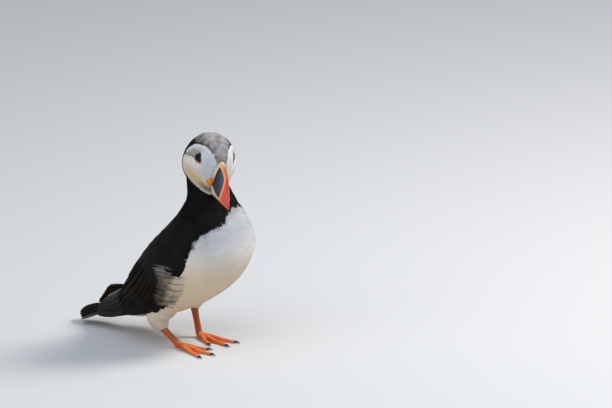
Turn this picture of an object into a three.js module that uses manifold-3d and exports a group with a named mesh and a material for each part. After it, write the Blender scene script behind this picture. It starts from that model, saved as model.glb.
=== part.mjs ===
// Atlantic puffin (Fratercula arctica), life size, standing still with its head turned to its right.
// Units are millimetres. +X is the way the body faces, +Y is the bird's left and +Z is up.
// The floor is z = 0, and the origin is the centre of the bird's footprint box on it.
import * as THREE from "three";
import { mergeVertices } from "three/addons/utils/BufferGeometryUtils.js";
import Module from "manifold-3d";

const wasm = await Module();
wasm.setup();

// ---------------------------------------------------------------- driving dimensions

const GAP = 0.35; // clearance left between neighbouring pieces
const SIDES = { right: -1, left: 1 };
const FACET = 0.05; // edges that stand out by less than this are merged away
const TENSION = 0.5; // of every curve that is drawn through a list of stations

const ROUND = 26; // corners of a body section
const TRUNK_RINGS = 16;
const NECK_RINGS = 6;
const BODY_SQUARENESS = 2.15; // superellipse exponent of a body section, 2 is an ellipse

// Sections of the trunk and neck. dorsal and ventral are [x, z] on the midline of the back and
// of the breast, halfWidth is the widest half breadth between them and side is a shift in y.
const BODY_STATIONS = [
  { at: "tail root", dorsal: [-88, 22], ventral: [-85, 12], halfWidth: 6, side: 0 },
  { at: "rump", dorsal: [-72, 37], ventral: [-62, 15], halfWidth: 17, side: 0 },
  { at: "vent", dorsal: [-57, 54], ventral: [-40, 18.5], halfWidth: 29, side: 0 },
  { at: "loins", dorsal: [-44.5, 74], ventral: [-13, 25.5], halfWidth: 38.5, side: 0 },
  { at: "belly", dorsal: [-31, 92], ventral: [19, 41], halfWidth: 44.5, side: 0 },
  { at: "breast", dorsal: [-17.5, 106.5], ventral: [47, 64], halfWidth: 46.5, side: 0 },
  { at: "shoulders", dorsal: [-6, 119], ventral: [61, 93], halfWidth: 44, side: 0 },
  { at: "upper breast", dorsal: [2, 131], ventral: [58, 116], halfWidth: 34, side: -2 },
  { at: "neck base", dorsal: [6.5, 142], ventral: [49, 132], halfWidth: 25.5, side: -1.5 },
  { at: "low neck", dorsal: [6, 152], ventral: [40.5, 146], halfWidth: 22, side: -1.5 },
  { at: "mid neck", dorsal: [6.5, 162], ventral: [37, 157], halfWidth: 18.5, side: -4.5 },
  { at: "neck top", dorsal: [11, 174], ventral: [34, 169], halfWidth: 15, side: -5.5 },
];
const NECK_FROM = 7.6; // the neck starts this far along the stations above
const NECK_CUT = 0.03; // and this much further on from where the trunk ends

// The head has a frame of its own: f runs out along the bill, l to the bird's left and u up the
// face. Its origin is the middle of the bill's base.
const HEAD = {
  origin: [48.0, -20.5, 164.6],
  yaw: -37.4, // degrees, turned to the bird's right
  pitch: 14.7, // bill tipped down
  roll: -8.9, // left cheek lower than the right
  squareness: 2.15,
  round: 24,
  jowl: 0.13, // how much wider than an ellipse the cheeks are, and how much narrower the crown
  rings: 14,
};
const HEAD_STATIONS = [
  { f: -50.5, top: 14, bottom: 0, halfWidth: 6.5 },
  { f: -48, top: 20.5, bottom: -7.5, halfWidth: 13.5 },
  { f: -42.5, top: 25.2, bottom: -14.5, halfWidth: 20.7 },
  { f: -34.5, top: 27.8, bottom: -19.5, halfWidth: 24.1 },
  { f: -25.5, top: 28.2, bottom: -22, halfWidth: 23.4 },
  { f: -16.5, top: 27, bottom: -23, halfWidth: 18.4 },
  { f: -8.5, top: 23.6, bottom: -22, halfWidth: 13.2 },
  { f: -3.2, top: 20.5, bottom: -20, halfWidth: 9.4 },
  { f: -0.8, top: 18, bottom: -18, halfWidth: 6.4 },
];

// The bill, in the head's frame: a deep, narrow triangle. Heights are along u.
const BILL = {
  back: -3.5, // the horn starts this far inside the face
  tip: 37.3,
  halfWidth: 4.9,
  squareness: 1.6, // under 2 makes the culmen a ridge
  rings: 12,
  round: 10,
  hook: 1.2, // how far the upper tip passes the lower one
};
const BILL_STATIONS = [
  { along: 0, top: 17.2, mouth: -4.2, bottom: -17.2, width: 1 },
  { along: 0.2, top: 17.6, mouth: -6.4, bottom: -16.4, width: 0.96 },
  { along: 0.4, top: 15.8, mouth: -7.9, bottom: -14.8, width: 0.84 },
  { along: 0.6, top: 11.8, mouth: -8.1, bottom: -13.2, width: 0.66 },
  { along: 0.8, top: 4.8, mouth: -8.2, bottom: -11.6, width: 0.44 },
  { along: 0.93, top: -2.4, mouth: -8.7, bottom: -10.6, width: 0.26 },
  { along: 1, top: -8.0, mouth: -9.6, bottom: -10.4, width: 0.12 },
];

const EYE = { at: [-19.2, 14.3, 10.3], radius: 4.4 };
const ROSETTE = { at: [-1.6, 7.2, -3.7], size: [3.4, 2.0, 4.2], tilt: 50 };

// A folded wing is two overlapping slabs. The arm is the coverts and inner flight feathers, and
// the hand the long outer ones. Each edge is a list of [x, y, z] for the left wing, from the
// shoulder to the tip; the places that lie on the trunk are moved out to its surface.
const WING = {
  arm: {
    lower: [
      [25, 36, 127],
      [33, 43, 111],
      [24, 44, 80],
      [11, 42, 50],
      [-10, 38, 33],
      [-36, 28, 24],
      [-56, 21, 20],
    ],
    upper: [
      [17, 31, 131],
      [-1, 23, 122],
      [-17, 17, 106],
      [-34, 12, 86],
      [-50, 8, 66],
      [-61, 8, 50],
      [-68, 12, 38],
    ],
    lift: [3.2, 0.8],
    sink: 2.2,
    rings: 12,
    across: 6,
  },
  hand: {
    lower: [
      [-14, 30, 38],
      [-40, 26, 25],
      [-66, 18, 17],
      [-92, 12, 11.5],
    ],
    upper: [
      [-42, 14, 68],
      [-60, 9, 51],
      [-76, 6, 37],
      [-89, 6, 27],
    ],
    lift: [1.4, 0.8],
    sink: 1.4,
    rings: 8,
    across: 5,
  },
  free: [0.45, 0.85], // share of the hand's length where it leaves the trunk
  roundTip: 4.5, // how far the middle of the hand's end passes its corners
  thick: 1.7, // of the free part
  thinning: 0.9, // of the free part towards its edges, where 1 is a knife edge
  lean: [-0.1, 0.9, 0.42], // the way that the free part faces, on the left wing
  lowEdge: 0.4, // share of the lift that is left at the front edge and at the shoulder
  swell: 2.4, // how fast the lift is reached from there
};
// The left wing is folded a little longer and higher than the right one: tip moves its tip, rise
// bows the hand's upper edge up and drop brings that edge down again at the tip.
const FOLD = {
  right: { tip: [0, 0, 0], rise: 0, drop: 0 },
  left: { tip: [-13, 0, 0], rise: 9.5, drop: 2 },
};
const CLEARED = 12; // the trunk is cut away this far outside a wing's outer face

const TAIL = {
  root: [-80, 0, 19],
  tip: [-112, 0, 10],
  rootHalf: 8,
  tipHalf: 14,
  rootThick: 6,
  tipThick: 1.2,
  round: 8, // how far the middle feathers pass the outer ones
  arch: 1, // how far the outer feathers drop below the middle
  thinning: 0.85, // towards the sides, where 1 is a knife edge
  cant: 22, // degrees, left edge up
  rings: 6,
  across: 8,
};

// Legs: the feathered part runs hip, knee, cuff with the half widths thigh, and the bare shank
// ankle, joint. Each foot points heading degrees to the bird's left.
const LEGS = {
  right: {
    hip: [-11, -21, 42],
    knee: [-17.5, -22, 25.5],
    cuff: [-11.8, -22.3, 14.5],
    thigh: [15.5, 11, 4.4],
    ankle: [-15.2, -22.6, 17.5],
    joint: [3.3, -21, 3],
    heading: -4,
  },
  left: {
    hip: [-4, 21, 50],
    knee: [-5, 19, 38],
    cuff: [-6.4, 17.6, 27],
    thigh: [13.5, 9.8, 4.6],
    ankle: [-6.9, 17.6, 29],
    joint: [-0.3, 16.8, 3],
    heading: -17,
  },
};
const THIGH = { round: 14, rings: 6 };
// The shank's half width and depth, and the share of each at the ankle, middle and toe joint.
const SHANK = {
  halfWidth: 2.3,
  halfDepth: 3.4,
  widths: [1.15, 1, 1.12],
  depths: [1.15, 0.92, 1],
  round: 10,
  rings: 5,
  squareness: 2.2,
};

// Toes: length to the claw, and spread from the foot's heading away from the midline.
const TOES = [
  { name: "inner", length: 27, spread: -20 },
  { name: "middle", length: 38, spread: 1 },
  { name: "outer", length: 37, spread: 21 },
];
// A toe's stations, from the joint to the claw: share of its length, height of its middle and radius.
const TOE_STATIONS = [
  { along: 0, height: 3, radius: 2.5 },
  { along: 0.35, height: 2.38, radius: 2.3 },
  { along: 0.7, height: 1.58, radius: 1.58 },
  { along: 1, height: 1.13, radius: 1.5 },
];
const TOE_END = TOE_STATIONS.at(-1);
// A web spans from start to reach along its two toes, and sag is how hollow its front edge is.
const WEB = { thick: 1.1, start: 0.06, reach: 0.84, sag: 0.17, rings: 4, across: 4 };
const HEEL = { radius: 3.1, height: 3 }; // of the joint that the toes spring from
// A claw's stations, from the toe's end to its point on the floor.
const CLAW_STATIONS = [
  { along: GAP, height: 1.25, radius: 1.25 },
  { along: 3.1, height: 1.63, radius: 0.9 },
  { along: 6.2, height: 0.45, radius: 0.4 },
];
const FLOOR_REACH = 300; // half the side of the block that cuts the feet off at the floor

const COLOURS = {
  black: 0x17171a,
  white: 0xe9e7e2,
  face: 0xd4d5d8,
  crown: 0x4d4a4b,
  horn: 0xe0452c,
  flesh: 0xf08a1c,
  leg: 0xdc5a1e,
  claw: 0x1b1a1c,
  eye: 0x1a1413,
};

// ---------------------------------------------------------------- solids and rings

/** A closed geometry as a manifold solid. */
function solidOf(geometry) {
  const bare = geometry.clone();
  bare.deleteAttribute("normal");
  bare.deleteAttribute("uv");
  const merged = mergeVertices(bare, 1e-4);
  return new wasm.Manifold(
    new wasm.Mesh({
      numProp: 3,
      vertProperties: new Float32Array(merged.attributes.position.array),
      triVerts: new Uint32Array(merged.index.array),
    }),
  );
}

/** A manifold solid as a geometry. */
function geometryOf(solid) {
  const mesh = solid.getMesh();
  const step = mesh.numProp;
  const places = new Float32Array(mesh.numVert * 3);
  for (let i = 0; i < mesh.numVert; i++) {
    places.set(mesh.vertProperties.subarray(i * step, i * step + 3), i * 3);
  }
  const geometry = new THREE.BufferGeometry();
  geometry.setAttribute("position", new THREE.BufferAttribute(places, 3));
  geometry.setIndex(new THREE.BufferAttribute(new Uint32Array(mesh.triVerts), 1));
  geometry.computeVertexNormals();
  return geometry;
}

/** The faces between rings, which are lists of equal length. */
function wallFaces(count, around) {
  const faces = [];
  for (let i = 0; i < count - 1; i++) {
    for (let j = 0; j < around; j++) {
      const a = i * around + j;
      const b = i * around + ((j + 1) % around);
      faces.push(a, b, b + around, a, b + around, a + around);
    }
  }
  return faces;
}

/** A closed geometry from points and faces, as a solid. */
function closed(points, faces) {
  const geometry = new THREE.BufferGeometry().setFromPoints(points);
  geometry.setIndex(faces);
  const solid = solidOf(geometry);
  return solid.volume() > 0 ? solid : turnedOut(geometry);
}

/** Joins round rings into one closed surface, with a fan over each end. */
function loft(rings) {
  const around = rings[0].length;
  const middle = (ring) =>
    ring.reduce((sum, p) => sum.add(p), new THREE.Vector3()).divideScalar(ring.length);
  const points = [...rings.flat(), middle(rings[0]), middle(rings.at(-1))];
  const first = rings.length * around;
  const last = (rings.length - 1) * around;
  const faces = wallFaces(rings.length, around);
  for (let j = 0; j < around; j++) {
    const k = (j + 1) % around;
    faces.push(first, k, j, first + 1, last + j, last + k);
  }
  return closed(points, faces);
}

/** Joins flat rings, each an outer row and then the inner row backwards, with a strip over each end. */
function slabLoft(rings) {
  const around = rings[0].length;
  const last = (rings.length - 1) * around;
  const faces = wallFaces(rings.length, around);
  for (let j = 0; j < around / 2 - 1; j++) {
    const [a, b, c, d] = [j, j + 1, around - 2 - j, around - 1 - j];
    faces.push(a, c, b, a, d, c);
    faces.push(last + a, last + b, last + c, last + a, last + c, last + d);
  }
  return closed(rings.flat(), faces);
}

/** The same surface with its faces turned round. */
function turnedOut(geometry) {
  const index = geometry.index.array;
  for (let i = 0; i < index.length; i += 3) {
    [index[i + 1], index[i + 2]] = [index[i + 2], index[i + 1]];
  }
  return solidOf(geometry);
}

/** A ring round centre: a superellipse on two half axes, each a vector. */
function ringOf(centre, up, across, round, squareness) {
  const rounded = (v) => Math.sign(v) * Math.abs(v) ** (2 / squareness);
  return Array.from({ length: round }, (_, j) => {
    const angle = (2 * Math.PI * j) / round;
    return centre
      .clone()
      .addScaledVector(up, rounded(Math.cos(angle)))
      .addScaledVector(across, rounded(Math.sin(angle)));
  });
}

/** A smooth curve through points, each an [x, y, z] or a vector. */
function curveOf(points) {
  const places = points.map((p) => new THREE.Vector3(...p));
  return new THREE.CatmullRomCurve3(places, false, "catmullrom", TENSION);
}

/** A smooth curve of numbers through values, at t from 0 to values.length - 1. */
function smooth(values) {
  const curve = curveOf(values.map((v) => [v, 0, 0]));
  return (t) => curve.getPoint(t / (values.length - 1)).x;
}

/** A tube along points that don't run sideways: half width in y and half depth follow the lists. */
function tube(points, halfWidths, halfDepths, round, rings, squareness = 2) {
  const path = new THREE.CatmullRomCurve3(points.map((p) => new THREE.Vector3(...p)));
  const widths = smooth(halfWidths);
  const depths = smooth(halfDepths);
  const last = halfWidths.length - 1;
  const made = [];
  for (let i = 0; i <= rings; i++) {
    const t = i / rings;
    const along = path.getTangent(t);
    const across = new THREE.Vector3(0, 1, 0).addScaledVector(along, -along.y).normalize();
    const up = along.clone().cross(across);
    const centre = path.getPoint(t);
    made.push(
      ringOf(
        centre,
        up.multiplyScalar(depths(t * last)),
        across.clone().multiplyScalar(widths(t * last)),
        round,
        squareness,
      ),
    );
  }
  return loft(made);
}

/** A solid block between two corners. */
function block(low, high) {
  const size = new THREE.Vector3(...high).sub(new THREE.Vector3(...low));
  const middle = new THREE.Vector3(...low).add(new THREE.Vector3(...high)).multiplyScalar(0.5);
  const geometry = new THREE.BoxGeometry(size.x, size.y, size.z);
  return solidOf(geometry.translate(middle.x, middle.y, middle.z));
}

const ABOVE_FLOOR = block(
  [-FLOOR_REACH, -FLOOR_REACH, 0],
  [FLOOR_REACH, FLOOR_REACH, FLOOR_REACH],
);

// ---------------------------------------------------------------- trunk and neck

const bodyCurves = {
  dorsalX: smooth(BODY_STATIONS.map((s) => s.dorsal[0])),
  dorsalZ: smooth(BODY_STATIONS.map((s) => s.dorsal[1])),
  ventralX: smooth(BODY_STATIONS.map((s) => s.ventral[0])),
  ventralZ: smooth(BODY_STATIONS.map((s) => s.ventral[1])),
  halfWidth: smooth(BODY_STATIONS.map((s) => s.halfWidth)),
  side: smooth(BODY_STATIONS.map((s) => s.side)),
};

/** The section at t along the stations: its centre, and its half axes up the back and sideways. */
function bodySection(t) {
  const side = bodyCurves.side(t);
  const dorsal = new THREE.Vector3(bodyCurves.dorsalX(t), side, bodyCurves.dorsalZ(t));
  const ventral = new THREE.Vector3(bodyCurves.ventralX(t), side, bodyCurves.ventralZ(t));
  const centre = dorsal.clone().add(ventral).multiplyScalar(0.5);
  const up = dorsal.sub(ventral).multiplyScalar(0.5);
  const across = new THREE.Vector3(0, bodyCurves.halfWidth(t), 0);
  return { centre, up, across, along: across.clone().cross(up).normalize() };
}

/** The body's surface from station a to station b, grown all round by grow. */
function bodyLoft(a, b, rings, grow = 0) {
  const made = [];
  for (let i = 0; i <= rings; i++) {
    const { centre, up, across } = bodySection(a + ((b - a) * i) / rings);
    up.setLength(up.length() + grow);
    across.setLength(across.length() + grow);
    made.push(ringOf(centre, up, across, ROUND, BODY_SQUARENESS));
  }
  return loft(made);
}

/** The trunk, from the root of the tail to the base of the neck. */
function trunkSolid(grow = 0) {
  return bodyLoft(0, NECK_FROM, TRUNK_RINGS, grow);
}

const SECTION_STEPS = 80;
const SECTIONS = Array.from({ length: SECTION_STEPS + 1 }, (_, i) =>
  bodySection((i * (BODY_STATIONS.length - 1)) / SECTION_STEPS),
);

/** The place on the trunk's surface that lies outwards of a point, and the way out there. */
function laidOnTrunk(point) {
  const gaps = SECTIONS.map((s) => point.clone().sub(s.centre).dot(s.along));
  const found = gaps.findIndex((g, n) => n < gaps.length - 1 && g >= 0 && gaps[n + 1] < 0);
  const i = Math.max(0, found);
  const share = THREE.MathUtils.clamp(gaps[i] / (gaps[i] - gaps[i + 1]), 0, 1);
  const centre = SECTIONS[i].centre.clone().lerp(SECTIONS[i + 1].centre, share);
  const up = SECTIONS[i].up.clone().lerp(SECTIONS[i + 1].up, share);
  const halfWidth = THREE.MathUtils.lerp(SECTIONS[i].across.y, SECTIONS[i + 1].across.y, share);
  const out = point.clone().sub(centre);
  const height = Math.abs(out.dot(up)) / up.lengthSq();
  const breadth = Math.abs(out.y) / halfWidth;
  const ratio = (height ** BODY_SQUARENESS + breadth ** BODY_SQUARENESS) ** (1 / BODY_SQUARENESS);
  const reach = out.length() / ratio;
  out.normalize();
  return { place: centre.addScaledVector(out, reach), out };
}

// ---------------------------------------------------------------- wings

/** One slab's two edges as curves, with the shift of that side's tip. */
function wingEdges(slab, side) {
  return [slab.lower, slab.upper].map((edge) => {
    const points = edge.map((place, i) => {
      const share = (i / (edge.length - 1)) ** 1.5;
      const [x, y, z] = place.map((v, k) => v + FOLD[side].tip[k] * share);
      return [x, SIDES[side] * y, z];
    });
    return curveOf(points);
  });
}

/**
 * A slab of the wing: rings of an outer and an inner face, from the shoulder to the tip.
 * grow widens it all round, and outside is how much further the outer face goes.
 */
function wingSlab(slab, side, isHand, grow, outside) {
  const [lower, upper] = wingEdges(slab, side);
  const [leanX, leanY, leanZ] = WING.lean;
  const lean = new THREE.Vector3(leanX, SIDES[side] * leanY, leanZ).normalize();
  const made = [];
  for (let i = 0; i <= slab.rings; i++) {
    const s = i / slab.rings;
    const free = isHand ? THREE.MathUtils.smoothstep(s, ...WING.free) : 0;
    const low = lower.getPoint(s);
    const high = upper.getPoint(s);
    const across = high.clone().sub(low).normalize();
    const along = lower.getTangent(s);
    const end = i === 0 ? -grow : i === slab.rings ? grow : 0;
    const outer = [];
    const inner = [];
    for (let j = 0; j <= slab.across; j++) {
      const t = j / slab.across;
      const rough = low.clone().lerp(high, t);
      rough.addScaledVector(across, grow * (2 * t - 1)).addScaledVector(along, end);
      if (isHand) {
        rough.x -= WING.roundTip * s * s * 4 * t * (1 - t);
        rough.z += FOLD[side].rise * t * 4 * s * (1 - s) - FOLD[side].drop * t * s * s;
      }
      const edge = Math.min(1, WING.lowEdge + WING.swell * Math.min(t, s));
      const lift = THREE.MathUtils.lerp(...slab.lift, t) * edge;
      const { place, out } = laidOnTrunk(rough);
      const onTrunk = place.clone().addScaledVector(out, lift + grow + outside);
      const inTrunk = place.clone().addScaledVector(out, -slab.sink - grow);
      const half = (WING.thick / 2) * Math.sqrt(1 - WING.thinning * (2 * t - 1) ** 2) + grow;
      const freeOuter = rough.clone().addScaledVector(lean, half + outside);
      outer.push(onTrunk.lerp(freeOuter, free));
      inner.push(inTrunk.lerp(rough.clone().addScaledVector(lean, -half), free));
    }
    made.push([...outer, ...inner.reverse()]);
  }
  return slabLoft(made);
}

/** One folded wing, grown all round by grow and outwards by outside as well. */
function wingSolid(side, grow = 0, outside = 0) {
  const arm = wingSlab(WING.arm, side, false, grow, outside);
  return arm.add(wingSlab(WING.hand, side, true, grow, outside));
}

// ---------------------------------------------------------------- head and bill

const headMatrix = new THREE.Matrix4()
  .makeRotationFromEuler(
    new THREE.Euler(
      THREE.MathUtils.degToRad(HEAD.roll),
      THREE.MathUtils.degToRad(HEAD.pitch),
      THREE.MathUtils.degToRad(HEAD.yaw),
      "ZYX",
    ),
  )
  .setPosition(...HEAD.origin);

/** A point given as f, l and u in the head's frame, in the bird's frame. */
function inHead(f, l, u) {
  return new THREE.Vector3(f, l, u).applyMatrix4(headMatrix);
}

/** Draws a place of a head section in or out, so that the cheeks are wider than the crown. */
function jowled(place, centre, up, across) {
  const out = place.clone().sub(centre);
  const height = out.dot(up) / up.lengthSq();
  const breadth = out.dot(across) / across.lengthSq();
  return place.clone().addScaledVector(across, -HEAD.jowl * height * breadth);
}

/** The feathered head from the nape to the bill, grown all round by grow. */
function headSolid(grow = 0) {
  const curves = ["f", "top", "bottom", "halfWidth"].map((key) =>
    smooth(HEAD_STATIONS.map((s) => s[key])),
  );
  const made = [];
  for (let i = 0; i <= HEAD.rings; i++) {
    const t = (i * (HEAD_STATIONS.length - 1)) / HEAD.rings;
    const [f, top, bottom, halfWidth] = curves.map((curve) => curve(t));
    const end = i === 0 ? -grow : i === HEAD.rings ? grow : 0;
    const middle = (top + bottom) / 2;
    const centre = inHead(f + end, 0, middle);
    const up = inHead(f + end, 0, top + grow).sub(centre);
    const across = inHead(f + end, halfWidth + grow, middle).sub(centre);
    const ring = ringOf(centre, up, across, HEAD.round, HEAD.squareness);
    made.push(ring.map((place) => jowled(place, centre, up, across)));
  }
  return loft(made);
}

/** One half of the bill: part is +1 for the upper mandible and -1 for the lower one. */
function billSolid(part, grow = 0) {
  const curves = ["along", "top", "mouth", "bottom", "width"].map((key) =>
    smooth(BILL_STATIONS.map((s) => s[key])),
  );
  const made = [];
  for (let i = 0; i <= BILL.rings; i++) {
    const t = (i * (BILL_STATIONS.length - 1)) / BILL.rings;
    const [along, top, mouth, bottom, width] = curves.map((curve) => curve(t));
    const reach = part > 0 ? BILL.tip : BILL.tip - BILL.hook;
    const f = THREE.MathUtils.lerp(BILL.back - grow, reach + grow, along);
    const edge = mouth + (part * GAP) / 2;
    const height = Math.max(0.35, part > 0 ? top - edge : edge - bottom) + 2 * grow;
    const half = BILL.halfWidth * width + grow;
    const ring = [];
    for (let j = 0; j <= BILL.round; j++) {
      const angle = (Math.PI * j) / BILL.round;
      const l = half * Math.sign(Math.cos(angle)) * Math.abs(Math.cos(angle)) ** (2 / BILL.squareness);
      const u = edge + part * (height * Math.sin(angle) ** (2 / BILL.squareness) - grow);
      ring.push(inHead(f, l, u));
    }
    made.push(ring);
  }
  return loft(made);
}

/** An eyeball, set in the side of the head. */
function eyeSolid(side, grow = 0) {
  const ball = new THREE.SphereGeometry(EYE.radius + grow, 14, 8);
  const [f, l, u] = EYE.at;
  const place = inHead(f, SIDES[side] * l, u);
  return solidOf(ball.translate(place.x, place.y, place.z));
}

/** The round pad of wrinkled skin at the corner of the mouth. */
function rosetteSolid(side, grow = 0) {
  const [f, l, u] = ROSETTE.at;
  const pad = new THREE.SphereGeometry(1, 10, 7);
  pad.scale(...ROSETTE.size.map((half) => half + grow));
  pad.rotateZ(THREE.MathUtils.degToRad(-SIDES[side] * ROSETTE.tilt));
  pad.translate(f, SIDES[side] * l, u);
  return solidOf(pad.applyMatrix4(headMatrix));
}

// ---------------------------------------------------------------- tail, legs and feet

/** The closed tail: a fan of stiff feathers, as one tapering slab. */
function tailSolid(grow = 0) {
  const root = new THREE.Vector3(...TAIL.root);
  const tip = new THREE.Vector3(...TAIL.tip);
  const cant = THREE.MathUtils.degToRad(TAIL.cant);
  const made = [];
  for (let i = 0; i <= TAIL.rings; i++) {
    const s = i / TAIL.rings;
    const half = THREE.MathUtils.lerp(TAIL.rootHalf, TAIL.tipHalf, s) + grow;
    const thick = THREE.MathUtils.lerp(TAIL.rootThick, TAIL.tipThick, s) / 2 + grow;
    const upper = [];
    const under = [];
    for (let j = 0; j <= TAIL.across; j++) {
      const w = (2 * j) / TAIL.across - 1;
      const place = root.clone().lerp(tip, s);
      place.x += TAIL.round * s * (w * w - 1);
      place.y = half * w * Math.cos(cant * s);
      place.z += half * w * Math.sin(cant * s) - TAIL.arch * w * w;
      const edge = thick * Math.sqrt(1 - TAIL.thinning * w * w);
      upper.push(place.clone().add(new THREE.Vector3(0, 0, edge)));
      under.push(place.clone().add(new THREE.Vector3(0, 0, -edge)));
    }
    made.push([...upper, ...under.reverse()]);
  }
  return slabLoft(made);
}

/** The feathered part of a leg, from inside the flank down to its cuff. */
function thighSolid(leg, grow = 0) {
  const halves = leg.thigh.map((half) => half + grow);
  return tube([leg.hip, leg.knee, leg.cuff], halves, halves, THIGH.round, THIGH.rings);
}

/** The bare shank, from inside the cuff to the toe joint. */
function shankSolid(leg, grow = 0) {
  const middle = leg.ankle.map((v, i) => (v + leg.joint[i]) / 2);
  const widths = SHANK.widths.map((k) => k * SHANK.halfWidth + grow);
  const depths = SHANK.depths.map((k) => k * SHANK.halfDepth + grow);
  const path = [leg.ankle, middle, leg.joint];
  return tube(path, widths, depths, SHANK.round, SHANK.rings, SHANK.squareness);
}

/** Where each toe of one foot ends, on the floor. */
function toeTips(leg, side) {
  return TOES.map(({ length, spread }) => {
    const heading = THREE.MathUtils.degToRad(leg.heading + SIDES[side] * spread);
    return new THREE.Vector3(
      leg.joint[0] + length * Math.cos(heading),
      leg.joint[1] + length * Math.sin(heading),
      TOE_END.height,
    );
  });
}

/** The round joint that the toes of one foot spring from. */
function heelSolid(leg, grow = 0) {
  const ball = new THREE.SphereGeometry(HEEL.radius + grow, 12, 8);
  return solidOf(ball.translate(leg.joint[0], leg.joint[1], HEEL.height));
}

/** A webbed foot: three toes, the webs between them and the joint they spring from. */
function footSolid(leg, side) {
  const joint = new THREE.Vector3(...leg.joint);
  const tips = toeTips(leg, side);
  let foot = heelSolid(leg);
  const halves = TOE_STATIONS.map(({ radius }) => radius);
  for (const tip of tips) {
    const path = TOE_STATIONS.map(({ along, height }) => joint.clone().lerp(tip, along).setZ(height));
    foot = foot.add(tube(path, halves, halves, 8, 5));
  }
  foot = foot.add(webSolid(joint, tips[0], tips[1])).add(webSolid(joint, tips[1], tips[2]));
  return largest(foot.intersect(ABOVE_FLOOR));
}

/** One web: a thin sheet between two toes, with a hollow front edge. */
function webSolid(joint, a, b) {
  const rings = [];
  for (let i = 0; i <= WEB.rings; i++) {
    const share = i / WEB.rings;
    const s = THREE.MathUtils.lerp(WEB.start, WEB.reach, share);
    const upper = [];
    const under = [];
    for (let j = 0; j <= WEB.across; j++) {
      const w = j / WEB.across;
      const sag = 1 - WEB.sag * 4 * w * (1 - w) * share;
      const place = joint.clone().lerp(a.clone().lerp(b, w), s * sag);
      upper.push(place.clone().setZ(WEB.thick));
      under.push(place.setZ(0));
    }
    rings.push([...upper, ...under.reverse()]);
  }
  return slabLoft(rings);
}

/** A curved claw on the end of one toe, its point on the floor. */
function clawSolid(leg, tip) {
  const out = tip.clone().sub(new THREE.Vector3(...leg.joint)).setZ(0).normalize();
  const path = CLAW_STATIONS.map(({ along, height }) =>
    tip.clone().addScaledVector(out, along).setZ(height),
  );
  const halves = CLAW_STATIONS.map(({ radius }) => radius);
  return tube(path, halves, halves, 8, 3).intersect(ABOVE_FLOOR);
}

// ---------------------------------------------------------------- the bird

const puffin = new THREE.Group();

/** Adds one named piece to the bird. */
function piece(name, solid, colour, roughness = 0.8) {
  const material = new THREE.MeshStandardMaterial({ color: colour, roughness, metalness: 0 });
  const mesh = new THREE.Mesh(geometryOf(solid.simplify(FACET)), material);
  mesh.name = name;
  puffin.add(mesh);
}

const last = BODY_STATIONS.length - 1;
let trunk = trunkSolid().subtract(tailSolid(GAP));
let neck = bodyLoft(NECK_FROM + NECK_CUT, last, NECK_RINGS).subtract(headSolid(GAP));
let head = headSolid().subtract(billSolid(1, GAP)).subtract(billSolid(-1, GAP));

for (const side of Object.keys(SIDES)) {
  const leg = LEGS[side];
  const wing = wingSolid(side).subtract(headSolid(GAP)).subtract(tailSolid(GAP));
  const room = wingSolid(side, GAP).add(wingSolid(side, GAP, CLEARED));
  trunk = trunk.subtract(room);
  neck = neck.subtract(room);
  piece(`wing_${side}`, wing, COLOURS.black);

  const thigh = thighSolid(leg)
    .subtract(trunkSolid(GAP))
    .subtract(room)
    .subtract(shankSolid(leg, GAP));
  piece(`thigh_${side}`, largest(thigh), COLOURS.white);
  const foot = footSolid(leg, side);
  const shank = shankSolid(leg).subtract(heelSolid(leg, GAP)).subtract(trunkSolid(GAP));
  piece(`shank_${side}`, largest(shank.subtract(foot)), COLOURS.leg, 0.5);
  piece(`foot_${side}`, foot, COLOURS.leg, 0.5);
  toeTips(leg, side).forEach((tip, i) => {
    piece(`claw_${TOES[i].name}_${side}`, clawSolid(leg, tip).subtract(foot), COLOURS.claw, 0.4);
  });

  head = head.subtract(eyeSolid(side, GAP)).subtract(rosetteSolid(side, GAP));
  piece(`eye_${side}`, eyeSolid(side), COLOURS.eye, 0.1);
  const rosette = rosetteSolid(side).subtract(billSolid(1, GAP)).subtract(billSolid(-1, GAP));
  piece(`rosette_${side}`, largest(rosette), COLOURS.flesh, 0.6);
}

/** The biggest of a solid's separate bodies. */
function largest(solid) {
  return solid.decompose().reduce((a, b) => (b.volume() > a.volume() ? b : a));
}

piece("trunk", largest(trunk), COLOURS.white);
piece("neck", largest(neck), COLOURS.black);
piece("head", largest(head), COLOURS.face);
piece("bill_upper", billSolid(1), COLOURS.horn, 0.4);
piece("bill_lower", billSolid(-1), COLOURS.horn, 0.4);
piece("tail", tailSolid(), COLOURS.black);

// The origin is the middle of the footprint box, on the floor.
const box = new THREE.Box3().setFromObject(puffin);
puffin.position.set(-(box.min.x + box.max.x) / 2, -(box.min.y + box.max.y) / 2, -box.min.z);

export default puffin;
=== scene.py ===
"""Looks of a life-size Atlantic puffin, standing still with its head turned to its right.

Lengths are millimetres until a mesh is made. The bird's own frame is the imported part's: +X is the
way the body faces, +Y is the bird's left and +Z is up, and SHIFT carries the places that the
tables below give to the part's origin. The skin is one closed mesh. The feathers are closed
vanes and barbs, laid over a smooth form of the whole plumage.
"""

import logging
import math
from collections.abc import Callable
from dataclasses import dataclass, field
from enum import Enum

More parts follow.
